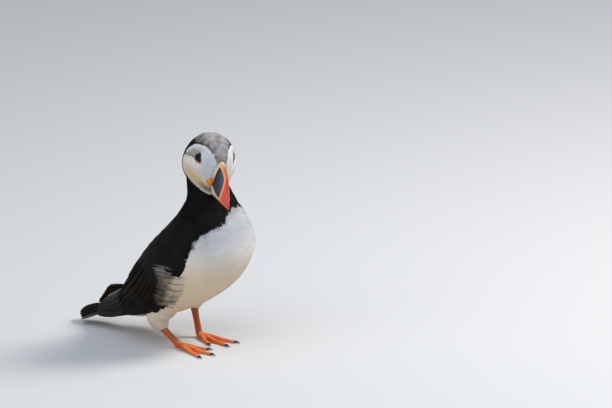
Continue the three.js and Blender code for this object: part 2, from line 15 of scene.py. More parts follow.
import bpy
import numpy as np
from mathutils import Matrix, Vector


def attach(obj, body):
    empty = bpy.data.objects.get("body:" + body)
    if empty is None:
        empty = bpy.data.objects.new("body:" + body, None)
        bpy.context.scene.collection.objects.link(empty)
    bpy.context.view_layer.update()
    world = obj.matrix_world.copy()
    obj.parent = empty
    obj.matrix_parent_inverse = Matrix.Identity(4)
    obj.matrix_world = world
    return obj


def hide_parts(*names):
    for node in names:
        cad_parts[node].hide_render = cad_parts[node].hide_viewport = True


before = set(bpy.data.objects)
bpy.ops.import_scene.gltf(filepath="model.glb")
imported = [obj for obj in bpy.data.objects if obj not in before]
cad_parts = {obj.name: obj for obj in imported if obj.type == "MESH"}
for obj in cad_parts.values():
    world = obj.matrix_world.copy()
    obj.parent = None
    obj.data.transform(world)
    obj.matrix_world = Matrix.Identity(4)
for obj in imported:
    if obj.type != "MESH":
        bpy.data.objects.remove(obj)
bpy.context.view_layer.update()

log = logging.getLogger("puffin")
Array = np.ndarray
Colour = tuple[float, float, float]
Marks = Callable[[Array, Array, Array], Array]  # markings from t, a and the place
Weight = Callable[[Array, Array], Array]  # density from t and a
Clear = Callable[[Array], Array]  # which paths to keep
Material = bpy.types.Material
Object = bpy.types.Object

MM = 0.001
GAP = 0.35  # clearance between neighbouring pieces
BODY = "root"  # the one body that every piece rides on
TURN = 2 * math.pi
UP = np.array([0.0, 0.0, 1.0])
SHIFT = np.array([22.804, -0.051, 0.0])  # from the tables' frame to the part's


class Side(Enum):
    """A side of the bird, with the sign of its y."""

    RIGHT = -1
    LEFT = 1

    @property
    def word(self) -> str:
        """The side's name as the part's nodes spell it."""
        return self.name.lower()

    @property
    def flip(self) -> Array:
        """Turns a place on the bird's left into the like one on this side."""
        return np.array([1.0, self.value, 1.0])


# ---------------- curves and small sums


def spline(values: Array, t: Array) -> Array:
    """Smooth curve through evenly spaced values, straight past its ends.

    Each span is a cubic whose end slopes are half the difference of the two neighbours. The
    neighbour past an end is the mirror image of the one inside it.

    Args:
        values: One value or row of values for each station.
        t: Places along the stations, from 0 to their number less 1.

    Returns:
        The values at t, with the row as the last axis.
    """
    values = np.asarray(values, float)
    values = values[:, None] if values.ndim == 1 else values
    t = np.asarray(t, float)
    padded = np.concatenate([2 * values[:1] - values[1:2], values, 2 * values[-1:] - values[-2:-1]])
    inside = np.clip(t, 0, len(values) - 1)
    i = np.minimum(inside.astype(int), len(values) - 2)
    s = (inside - i)[..., None]
    before, first, second, after = (padded[i + k] for k in range(4))
    slope_in, slope_out = (second - before) / 2, (after - first) / 2
    rise = (2 * s**3 - 3 * s**2 + 1) * first + (3 * s**2 - 2 * s**3) * second
    bend = (s**3 - 2 * s**2 + s) * slope_in + (s**3 - s**2) * slope_out
    beyond = (t - inside)[..., None] * np.where(s < 0.5, slope_in, slope_out)
    return rise + bend + beyond


def stretched(values: Array, share: Array) -> Array:
    """The smooth curve through values at shares of its whole length."""
    return spline(values, np.asarray(share, float) * (len(values) - 1))


def smooth_step(x: Array, low: float, high: float) -> Array:
    """0 below low, 1 above high, and an S-curve between."""
    s = np.clip((np.asarray(x, float) - low) / (high - low), 0, 1)
    return s * s * (3 - 2 * s)


def blend(first: Array, second: Array, share: Array) -> Array:
    """The mix of two values by share."""
    return first + (second - first) * share


def unit(v: Array) -> Array:
    """Vectors of length 1 along v's last axis."""
    return v / np.maximum(np.linalg.norm(v, axis=-1, keepdims=True), 1e-12)


def rounded(x: Array, squareness: float) -> Array:
    """A sine or cosine bent from an ellipse's towards a superellipse's."""
    return np.sign(x) * np.abs(x) ** (2 / squareness)


def ripple(points: Array, size: float, seed: int) -> Array:
    """Smooth noise from about -1 to 1: six sine waves of length near size in fixed directions."""
    rng = np.random.default_rng(seed)
    ways = unit(rng.normal(size=(6, 3))) * (TURN / size) * rng.uniform(0.7, 1.4, (6, 1))
    starts = rng.uniform(0, TURN, 6)
    return np.sin(points @ ways.T + starts).sum(-1) / 3.5


def held(x: Array) -> Array:
    """Values kept between 0 and 1."""
    return np.clip(x, 0, 1)


@dataclass(frozen=True)
class Spot:
    """A soft oval spot on a flat map: 1 at its centre, and a bell curve of the distance in radii."""

    centre: tuple[float, float]
    radii: tuple[float, float]
    tilt: float = 0.0  # degrees

    def at(self, x: Array, y: Array) -> Array:
        """How strong the spot is at x and y.

        Args:
            x: First number of the places.
            y: Second number.

        Returns:
            Its strength, from 0 to 1.
        """
        angle = math.radians(self.tilt)
        dx, dy = x - self.centre[0], y - self.centre[1]
        along = dx * math.cos(angle) + dy * math.sin(angle)
        over = dy * math.cos(angle) - dx * math.sin(angle)
        return np.exp(-((along / self.radii[0]) ** 2) - (over / self.radii[1]) ** 2)


def outline_distance(x: Array, y: Array, outline: Array) -> Array:
    """Distance from places to a closed outline, positive inside it.

    Args:
        x: First coordinate of the places.
        y: Second coordinate of the places.
        outline: Corners in order, one (x, y) a row.

    Returns:
        The signed distance: the nearest of the distances to each edge, and the sign from the
        number of edges that a level line from the place crosses.
    """
    shape = x.shape
    p = np.stack([x.ravel(), y.ravel()], -1)[:, None, :]
    a, b = outline[None], np.roll(outline, -1, 0)[None]
    edge, way = b - a, p - a
    share = np.clip((way * edge).sum(-1) / (edge**2).sum(-1), 0, 1)
    distance = np.linalg.norm(way - edge * share[..., None], axis=-1).min(1)
    straddles = (a[..., 1] > p[..., 1]) != (b[..., 1] > p[..., 1])
    steep = np.where(np.abs(edge[..., 1]) < 1e-9, 1e-9, edge[..., 1])
    crossing = a[..., 0] + edge[..., 0] * (p[..., 1] - a[..., 1]) / steep
    inside = (straddles & (p[..., 0] < crossing)).sum(1) % 2 == 1
    return np.where(inside, distance, -distance).reshape(shape)


# ---------------- meshes


@dataclass
class Shell:
    """Points in millimetres and triangles, with values carried on the points."""

    points: Array
    faces: Array
    values: dict[str, Array] = field(default_factory=dict)

    @staticmethod
    def joined(shells: list["Shell"]) -> "Shell":
        """Several shells as one, without welding them."""
        starts = np.cumsum([0] + [len(s.points) for s in shells[:-1]])
        values = {key: np.concatenate([s.values[key] for s in shells]) for key in shells[0].values}
        faces = np.concatenate([s.faces + start for s, start in zip(shells, starts)])
        return Shell(np.concatenate([s.points for s in shells]), faces, values)

    def object(self, name: str) -> Object:
        """The shell as a smooth-shaded object in metres, its values as point attributes.

        Args:
            name: Name of the object and of its mesh.

        Returns:
            The object.
        """
        mesh = bpy.data.meshes.new(name)
        mesh.vertices.add(len(self.points))
        mesh.vertices.foreach_set("co", ((self.points + SHIFT) * MM).astype(np.float32).ravel())
        if len(self.faces):
            mesh.loops.add(self.faces.size)
            mesh.loops.foreach_set("vertex_index", self.faces.astype(np.int32).ravel())
            mesh.polygons.add(len(self.faces))
            mesh.polygons.foreach_set("loop_start", np.arange(0, self.faces.size, 3, dtype=np.int32))
            mesh.polygons.foreach_set("use_smooth", np.ones(len(self.faces), bool))
        mesh.update(calc_edges=True)
        for key, value in self.values.items():
            set_value(mesh, key, value)
        return linked(name, mesh)

    def piece(self, name: str, finish: Material, slot: str, *nodes: str) -> Object:
        """The shell as a finished piece, in the place of the CAD nodes named."""
        made = self.object(name)
        made.data.materials.append(finish)
        return placed(made, slot, *nodes)


def linked(name: str, data: bpy.types.ID) -> Object:
    """A new object in the scene."""
    made = bpy.data.objects.new(name, data)
    bpy.context.scene.collection.objects.link(made)
    return made


def placed(made: Object, slot: str, *nodes: str) -> Object:
    """Rides a piece on the body, and hides the CAD nodes it stands for.

    Args:
        made: The piece.
        slot: Name of its material slot; not used.
        nodes: The CAD nodes that it stands for.

    Returns:
        The same piece.
    """
    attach(made, BODY)
    if nodes:
        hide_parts(*nodes)
    log.info("%s: %d faces", made.name, len(made.data.polygons))
    return made


def set_value(mesh: bpy.types.Mesh, key: str, value: Array) -> None:
    """Stores a vector of 3, or a colour of 4, on each point of a mesh."""
    kind, slot = {3: ("FLOAT_VECTOR", "vector"), 4: ("FLOAT_COLOR", "color")}[value.shape[1]]
    attribute = mesh.attributes.new(key, kind, "POINT")
    attribute.data.foreach_set(slot, value.astype(np.float32).ravel())


def outwards(points: Array, faces: Array) -> Array:
    """The triangles of a closed shell, all turned over if the volume they hold is negative."""
    corners = points[faces]
    volume = (corners[:, 0] * np.cross(corners[:, 1], corners[:, 2])).sum()
    return faces if volume > 0 else faces[:, ::-1]


def walls(rings: int, around: int, closed: bool = False) -> Array:
    """Triangles between rings of points that go round, and from the last to the first if closed."""
    i, j = np.meshgrid(np.arange(rings if closed else rings - 1), np.arange(around), indexing="ij")
    n, k = (i + 1) % rings, (j + 1) % around
    a, b, c, d = i * around + j, i * around + k, n * around + k, n * around + j
    return np.concatenate([np.stack([a, b, c], -1), np.stack([a, c, d], -1)]).reshape(-1, 3)


def loft(grid: Array) -> Shell:
    """Closed shell over rings of points, given ring by ring, with a fan over each end.

    Args:
        grid: Rings by corners by 3.

    Returns:
        The shell.
    """
    rings, around = grid.shape[:2]
    j, k = np.arange(around), (np.arange(around) + 1) % around
    first, last = rings * around, (rings - 1) * around
    start = np.stack([np.full(around, first), k, j], -1)
    end = np.stack([np.full(around, first + 1), last + j, last + k], -1)
    points = np.concatenate([grid.reshape(-1, 3), grid[:1].mean(1), grid[-1:].mean(1)])
    return Shell(points, outwards(points, np.concatenate([walls(rings, around), start, end])))


def tube(path: Array, up: Array, across: Array, around: int) -> Array:
    """Rings of corners along a path: ellipses on the half axes up and across."""
    angle = np.linspace(0, TURN, around, endpoint=False)
    return path[:, None] + up[:, None] * np.cos(angle)[:, None] + across[:, None] * np.sin(angle)[:, None]


def sphere(rings: int, around: int, pole: float) -> list[Array]:
    """Angles from the pole, starting at pole radians, and round it, for rings of corners."""
    polar, angle = np.linspace(pole, math.pi - pole, rings), np.linspace(0, TURN, around, endpoint=False)
    return np.meshgrid(polar, angle, indexing="ij")


def tripled(values: Array) -> Array:
    """One number for each point as a vector of three alike."""
    return np.repeat(np.ravel(values)[:, None], 3, 1)


def modified(made: Object, **modifiers: dict) -> Object:
    """Adds modifiers in order and applies them.

    Args:
        made: The object.
        modifiers: Blender's kind of modifier, with its settings.

    Returns:
        The same object.
    """
    for kind, settings in modifiers.items():
        modifier = made.modifiers.new(kind.lower(), kind)
        for key, value in settings.items():
            setattr(modifier, key, value)
    old = made.data
    mesh = bpy.data.meshes.new_from_object(made.evaluated_get(bpy.context.evaluated_depsgraph_get()))
    mesh.name = old.name
    made.modifiers.clear()
    made.data = mesh
    bpy.data.meshes.remove(old)
    return made


def melted(made: Object, voxel: float, smoothing: int) -> Object:
    """Makes overlapping shells one closed skin, with cells of voxel millimetres, and smooths it."""
    remesh = {"mode": "VOXEL", "voxel_size": voxel * MM, "use_smooth_shade": True}
    return modified(made, REMESH=remesh, SMOOTH={"factor": 0.5, "iterations": smoothing})


def read(items: bpy.types.bpy_prop_collection, key: str) -> Array:
    """One vector of each item of a mesh."""
    values = np.empty(len(items) * 3, np.float32)
    items.foreach_get(key, values)
    return values.reshape(-1, 3).astype(float)


def places_of(mesh: bpy.types.Mesh) -> Array:
    """Where a mesh's points are, in the frame of the tables."""
    return read(mesh.vertices, "co") / MM - SHIFT


# ---------------- the forms of the bird


class Surface:
    """A surface of two parameters: t along it, and a round or across it."""

    flow: float = -1.0  # the way that feathers lie, as a sign of t
    outward: float = 1.0  # sign of the slope along t crossed with the slope along a
    ends: tuple[float, float] = (0.0, 1.0)
    rim: tuple[float, float] = (0.0, TURN)
    slope_step: float = 0.01

    def point(self, t: Array, a: Array) -> Array:
        """The place at t and a."""
        raise NotImplementedError

    def slopes(self, t: Array, a: Array) -> tuple[Array, Array]:
        """How the place moves for each unit of t and of a, by differences."""
        step = self.slope_step
        along = (self.point(t + step, a) - self.point(t - step, a)) / (2 * step)
        across = (self.point(t, a + step) - self.point(t, a - step)) / (2 * step)
        return along, across

    def grid(self, rings: int, around: int) -> Array:
        """Evenly spaced rings of places, from end to end."""
        t = np.linspace(*self.ends, rings)
        a = np.linspace(*self.rim, around, endpoint=False)
        return self.point(*np.meshgrid(t, a, indexing="ij"))

    def unwrap(self, t: Array, a: Array) -> Array:
        """The place on a unit square, across and then along."""
        (low, high), (first, last) = self.rim, self.ends
        return np.stack([(a - low) / (high - low), (t - first) / (last - first)], -1)


class Sheet(Surface):
    """A thin layer with two faces: t runs from its root to its tip, and a from edge to edge."""

    flow = 1.0
    inside = False  # the inner face instead of the outer one

    def both(self, t: Array, a: Array) -> tuple[Array, Array]:
        """The places on the outer and on the inner face."""
        raise NotImplementedError

    def point(self, t: Array, a: Array) -> Array:
        """The place on the face that is asked for."""
        return self.both(t, a)[int(self.inside)]

    def block(self, last: float, rings: int = 30, across: int = 14) -> Array:
        """Rings of the solid layer, outer row then inner row, as far as last."""
        t, a = np.meshgrid(np.linspace(0, last, rings), np.linspace(*self.rim, across), indexing="ij")
        outer, inner = self.both(t, a)
        return np.concatenate([outer, inner[:, ::-1]], 1)


@dataclass
class BodyForm(Surface):
    """Trunk and neck: a superellipse between the midlines of back and breast.

    t counts the stations from the tail's root to the top of the neck. a is the angle from the
    back's midline towards the bird's left.
    """

    squareness: float = 2.15
    # Rows: back x and z, breast x and z, half width and shift in y.
    stations: tuple = (
        (-88, 22, -85, 12, 6, 0),
        (-72, 37, -62, 15, 17, 0),
        (-57, 54, -40, 18.5, 29, 0),
        (-44.5, 74, -13, 25.5, 38.5, 0),
        (-31, 92, 19, 41, 44.5, 0),
        (-17.5, 106.5, 47, 64, 46.5, 0),
        (-6, 119, 61, 93, 44, 0),
        (2, 131, 58, 116, 34, -2),
        (6.5, 142, 49, 132, 25.5, -1.5),
        (6, 152, 40.5, 146, 22, -1.5),
        (6.5, 162, 37, 157, 18.5, -4.5),
        (11, 174, 34, 169, 15, -5.5),
    )
    checks: int = 81

    def __post_init__(self) -> None:
        """Works out the sections that places are looked up in."""
        self.ends = (0.0, len(self.stations) - 1.0)
        self.steps = np.linspace(*self.ends, self.checks)
        self.sections = self.section(self.steps)

    def section(self, t: Array) -> tuple[Array, Array, Array]:
        """Centre, half axis up the back and half width of the sections at t.

        Args:
            t: Stations, whole or between.

        Returns:
            The centre, the half axis and the half width, each as vectors.
        """
        row = spline(np.array(self.stations), t)
        zero = np.zeros_like(row[..., 0])
        back = np.stack([row[..., 0], row[..., 5], row[..., 1]], -1)
        breast = np.stack([row[..., 2], row[..., 5], row[..., 3]], -1)
        up = (back - breast) / 2
        return (back + breast) / 2, up, np.stack([zero, row[..., 4], zero], -1)

    def point(self, t: Array, a: Array) -> Array:
        """The place at t and a."""
        centre, up, across = self.section(t)
        c = rounded(np.cos(a), self.squareness)[..., None]
        s = rounded(np.sin(a), self.squareness)[..., None]
        return centre + up * c + across * s

    def locate(self, points: Array) -> tuple[Array, Array, Array, Array]:
        """Where places lie: the station, the angle, the way out and the place on the surface there.

        Args:
            points: Places in the bird's frame.

        Returns:
            The four, for each place.
        """
        centre, up, across = self.sections
        along = unit(np.cross(across, up))
        gaps = points @ along.T - (centre * along).sum(-1)
        crossed = (gaps[..., :-1] >= 0) & (gaps[..., 1:] < 0)
        i = crossed.argmax(-1)
        here = np.take_along_axis(gaps, i[..., None], -1)[..., 0]
        after = np.take_along_axis(gaps, i[..., None] + 1, -1)[..., 0]
        share = np.clip(here / (here - after), 0, 1)[..., None]
        middle = blend(centre[i], centre[i + 1], share)
        height = blend(up[i], up[i + 1], share)
        half = blend(across[i, 1], across[i + 1, 1], share[..., 0])
        out = points - middle
        rise = (out * height).sum(-1) / (height**2).sum(-1)
        breadth = out[..., 1] / half
        power = self.squareness
        ratio = (np.abs(rise) ** power + np.abs(breadth) ** power) ** (1 / power)
        reach = np.linalg.norm(out, axis=-1) / ratio
        t = self.steps[i] + share[..., 0] * (self.steps[1] - self.steps[0])
        angle = np.arctan2(breadth, rise) % TURN
        return t, angle, unit(out), middle + unit(out) * reach[..., None]


@dataclass
class HeadForm(Surface):
    """The feathered head, in a frame of its own: f along the bill, l to the left and u up the face.

    t counts the stations from the nape to the bill, and a is the angle from the crown towards the
    bird's left.
    """

    origin: tuple = (48.0, -20.5, 164.6)
    yaw: float = -37.4  # degrees
    pitch: float = 14.7
    roll: float = -8.9
    squareness: float = 2.15
    jowl: float = 0.13  # how much wider than an ellipse the cheeks are
    dome: float = 1.2  # how far the nape's end bulges
    # Rows: f, top, bottom and half width.
    stations: tuple = (
        (-50.5, 14, 0, 6.5),
        (-48, 20.5, -7.5, 13.5),
        (-42.5, 25.2, -14.5, 20.7),
        (-34.5, 27.8, -19.5, 24.1),
        (-25.5, 28.2, -22, 23.4),
        (-16.5, 27, -23, 18.4),
        (-8.5, 23.6, -22, 13.2),
        (-3.2, 20.5, -20, 9.4),
        (-0.8, 18, -18, 6.4),
    )
    furrow: tuple = ((-23.0, 10.6), (-27, 10.0), (-31, 8.8), (-34, 7.4))  # f and u
    furrow_depth: float = 1.1
    furrow_width: float = 1.5

    def __post_init__(self) -> None:
        """Works out the directions of f, l and u from the turns about y, z and x."""
        self.ends = (-0.97, len(self.stations) - 1.0)
        y, p, r = (math.radians(angle) for angle in (self.yaw, self.pitch, self.roll))
        turn_z = np.array([[math.cos(y), -math.sin(y), 0], [math.sin(y), math.cos(y), 0], [0, 0, 1]])
        turn_y = np.array([[math.cos(p), 0, math.sin(p)], [0, 1, 0], [-math.sin(p), 0, math.cos(p)]])
        turn_x = np.array([[1, 0, 0], [0, math.cos(r), -math.sin(r)], [0, math.sin(r), math.cos(r)]])
        self.axes = turn_z @ turn_y @ turn_x

    def to_bird(self, place: Array) -> Array:
        """Places given as f, l and u, in the bird's frame."""
        return np.asarray(place, float) @ self.axes.T + self.origin

    def to_head(self, place: Array) -> Array:
        """Places in the bird's frame, as f, l and u."""
        return (place - self.origin) @ self.axes

    def own(self, t: Array, a: Array) -> Array:
        """The place at t and a as f, l and u, with the furrow behind each eye pressed in.

        Args:
            t: Stations; below 0 is the round end of the nape.
            a: Angles from the crown.

        Returns:
            The places.
        """
        row = spline(np.array(self.stations), np.maximum(t, 0))
        f, top, bottom, half = (row[..., k] for k in range(4))
        closing = np.clip(-np.asarray(t, float), 0, 1)
        shrink = np.sqrt(1 - closing**2)
        c, s = rounded(np.cos(a), self.squareness), rounded(np.sin(a), self.squareness)
        middle = (top + bottom) / 2
        u = middle + (top - bottom) / 2 * c * shrink
        l = half * s * (1 - self.jowl * c) * shrink
        f = f - self.dome * closing**2
        away = self.furrow_distance(f, u)
        pressed = self.furrow_depth * np.exp(-((away / self.furrow_width) ** 2))
        return np.stack([f, l - np.sign(l) * pressed, u], -1)

    def furrow_distance(self, f: Array, u: Array) -> Array:
        """Distance to the furrow behind the eye, in the side view."""
        path = stretched(np.array(self.furrow), np.linspace(0, 1, 16))
        return np.hypot(f[..., None] - path[:, 0], u[..., None] - path[:, 1]).min(-1)

    def point(self, t: Array, a: Array) -> Array:
        """The place at t and a in the bird's frame."""
        return self.to_bird(self.own(t, a))

    def holds(self, own: Array) -> Array:
        """True for places given as f, l and u that lie in or on the head.

        Args:
            own: The places.

        Returns:
            True or False for each.
        """
        table = np.array(self.stations, float)
        top, bottom, half = (np.interp(own[:, 0], table[:, 0], table[:, k]) for k in (1, 2, 3))
        height, breadth = (own[:, 2] - (top + bottom) / 2) / (top - bottom) * 2, own[:, 1] / half
        near = height**2 + (breadth / (1 - self.jowl * height)) ** 2 < 1.2
        return near & (own[:, 0] > self.stations[0][0] - 2) & (own[:, 0] < 3)


@dataclass
class Slab:
    """One of the two layers of a folded wing: its edges on the left wing, and how far it stands out."""

    lower: tuple
    upper: tuple
    lift: tuple[float, float]
    sink: float
    is_hand: bool


ARM = Slab(
    lower=(
        (25, 36, 127), (33, 43, 111), (24, 44, 80), (11, 42, 50), (-10, 38, 33), (-36, 28, 24), (-56, 21, 20)
    ),
    upper=(
        (17, 31, 131), (-1, 23, 122), (-17, 17, 106), (-34, 12, 86), (-50, 8, 66), (-61, 8, 50), (-68, 12, 38)
    ),
    lift=(3.2, 0.8),
    sink=2.2,
    is_hand=False,
)
HAND = Slab(
    lower=((-14, 30, 38), (-40, 26, 25), (-66, 18, 17), (-92, 12, 11.5)),
    upper=((-42, 14, 68), (-60, 9, 51), (-76, 6, 37), (-89, 6, 27)),
    lift=(1.4, 0.8),
    sink=1.4,
    is_hand=True,
)


@dataclass
class WingForm(Sheet):
    """One layer of a folded wing, laid on the trunk.

    t runs from the shoulder to the tip, and a from the lower edge, 0, to the upper edge, 1.
    """

    body: BodyForm
    slab: Slab
    side: Side
    inside: bool = False
    free: tuple[float, float] = (0.45, 0.85)  # share of the hand where it leaves the trunk
    round_tip: float = 4.5
    thick: float = 1.7  # of the free part
    thinning: float = 0.9
    lean: tuple = (-0.1, 0.9, 0.42)  # the way that the free part faces, on the left wing
    low_edge: float = 0.4  # share of the lift at the lower edge and at the shoulder
    swell: float = 2.4
    # How the left wing differs: its tip further back, its hand's upper edge up and its tip down.
    tip_shift: float = -13.0
    rise: float = 9.5
    drop: float = 2.0

    def __post_init__(self) -> None:
        """Works out which way the face and the free part look."""
        turned = -1.0 if self.inside else 1.0
        self.outward = self.side.value * turned
        self.away = unit(np.array(self.lean) * self.side.flip)
        self.facing = self.away * turned
        self.rim = (0.0, 1.0)
        self.far = float(self.side is Side.LEFT)

    def edge(self, places: tuple, t: Array) -> Array:
        """One edge of the slab at t."""
        points = np.array(places, float) * self.side.flip
        share = (np.arange(len(points)) / (len(points) - 1)) ** 1.5
        points[:, 0] += self.far * self.tip_shift * share
        return stretched(points, t)

    def both(self, t: Array, a: Array) -> tuple[Array, Array]:
        """The places on the outer and on the inner face.

        Args:
            t: From the shoulder to the tip.
            a: From the lower to the upper edge.

        Returns:
            The outer places, then the inner ones.
        """
        t, a = np.broadcast_arrays(np.asarray(t, float), np.asarray(a, float))
        rough = blend(self.edge(self.slab.lower, t), self.edge(self.slab.upper, t), a[..., None])
        leaves = np.zeros_like(t)
        if self.slab.is_hand:
            leaves = smooth_step(t, *self.free)
            rough[..., 0] -= self.round_tip * t * t * 4 * a * (1 - a)
            rough[..., 2] += self.far * (self.rise * a * 4 * t * (1 - t) - self.drop * a * t * t)
        lift = blend(*self.slab.lift, held(a)) * held(self.low_edge + self.swell * np.minimum(a, t))
        _, _, out, place = self.body.locate(rough)
        half = self.thick / 2 * np.sqrt(np.clip(1 - self.thinning * (2 * a - 1) ** 2, 0.01, 1))
        share = leaves[..., None]
        outer = blend(place + out * lift[..., None], rough + self.away * half[..., None], share)
        inner = blend(place - out * self.slab.sink, rough - self.away * half[..., None], share)
        return outer, inner


@dataclass
class TailForm(Sheet):
    """The closed tail: a fan of stiff feathers. t runs to the tip, and a from edge to edge, -1 to 1."""

    root: tuple = (-80.0, 0.0, 19.0)
    tip: tuple = (-112.0, 0.0, 10.0)
    half: tuple[float, float] = (8.0, 14.0)
    thick: tuple[float, float] = (6.0, 1.2)
    round: float = 8.0  # how far the middle feathers pass the outer ones
    arch: float = 1.0
    cant: float = 22.0  # degrees, left edge up
    thinning: float = 0.85

    def __post_init__(self) -> None:
        """Says which way the upper side looks."""
        self.outward = -1.0
        self.facing = UP
        self.rim = (-1.0, 1.0)

    def both(self, t: Array, a: Array) -> tuple[Array, Array]:
        """The places on the upper and on the under side.

        Args:
            t: From the root to the tip.
            a: From edge to edge.

        Returns:
            The upper places, then the under ones.
        """
        t, a = np.broadcast_arrays(np.asarray(t, float), np.asarray(a, float))
        middle = blend(np.array(self.root), np.array(self.tip), t[..., None])
        half = blend(*self.half, t)
        cant = math.radians(self.cant) * t
        middle[..., 0] += self.round * t * (a * a - 1)
        middle[..., 1] = half * a * np.cos(cant)
        middle[..., 2] += half * a * np.sin(cant) - self.arch * a * a
        flat = np.sqrt(np.clip(1 - self.thinning * a * a, 0.01, 1))
        up = UP * (blend(*self.thick, t) / 2 * flat)[..., None]
        return middle + up, middle - up


@dataclass
class Limb(Surface):
    """A round tube along points that don't run sideways, t going from the first to the last."""

    path: tuple
    widths: tuple
    depths: tuple
    squareness: float = 2.0
    flow = 1.0

    def centre(self, t: Array) -> Array:
        """The middle of the tube."""
        return stretched(np.array(self.path, float), t)

    def point(self, t: Array, a: Array) -> Array:
        """The place at t and a, where a is the angle from the front towards the bird's left.

        Args:
            t: Along the tube.
            a: The angle round it.

        Returns:
            The places.
        """
        t, a = np.broadcast_arrays(np.asarray(t, float), np.asarray(a, float))
        along = unit(self.centre(t + 0.02) - self.centre(t - 0.02))
        across = unit(np.array([0.0, 1.0, 0.0]) - along * along[..., 1:2])
        up = np.cross(along, across)
        width, depth = (stretched(np.array(sizes), t) for sizes in (self.widths, self.depths))
        c = rounded(np.cos(a), self.squareness)[..., None]
        s = rounded(np.sin(a), self.squareness)[..., None]
        return self.centre(t) + up * depth * c + across * width * s


@dataclass(frozen=True)
class Leg:
    """Where one leg's joints are, and how far its foot turns to the bird's left, in degrees."""

    side: Side
    hip: tuple
    knee: tuple
    cuff: tuple
    ankle: tuple
    joint: tuple
    heading: float
    halves: tuple  # half widths of the thigh at hip, knee and cuff


RIGHT_LEG = Leg(
    Side.RIGHT,
    hip=(-11, -21, 42),
    knee=(-17.5, -22, 25.5),
    cuff=(-11.8, -22.3, 14.5),
    ankle=(-15.2, -22.6, 17.5),
    joint=(3.3, -21, 3),
    heading=-4,
    halves=(15.5, 11, 4.4),
)
LEFT_LEG = Leg(
    Side.LEFT,
    hip=(-4, 21, 50),
    knee=(-5, 19, 38),
    cuff=(-6.4, 17.6, 27),
    ankle=(-6.9, 17.6, 29),
    joint=(-0.3, 16.8, 3),
    heading=-17,
    halves=(13.5, 9.8, 4.6),
)


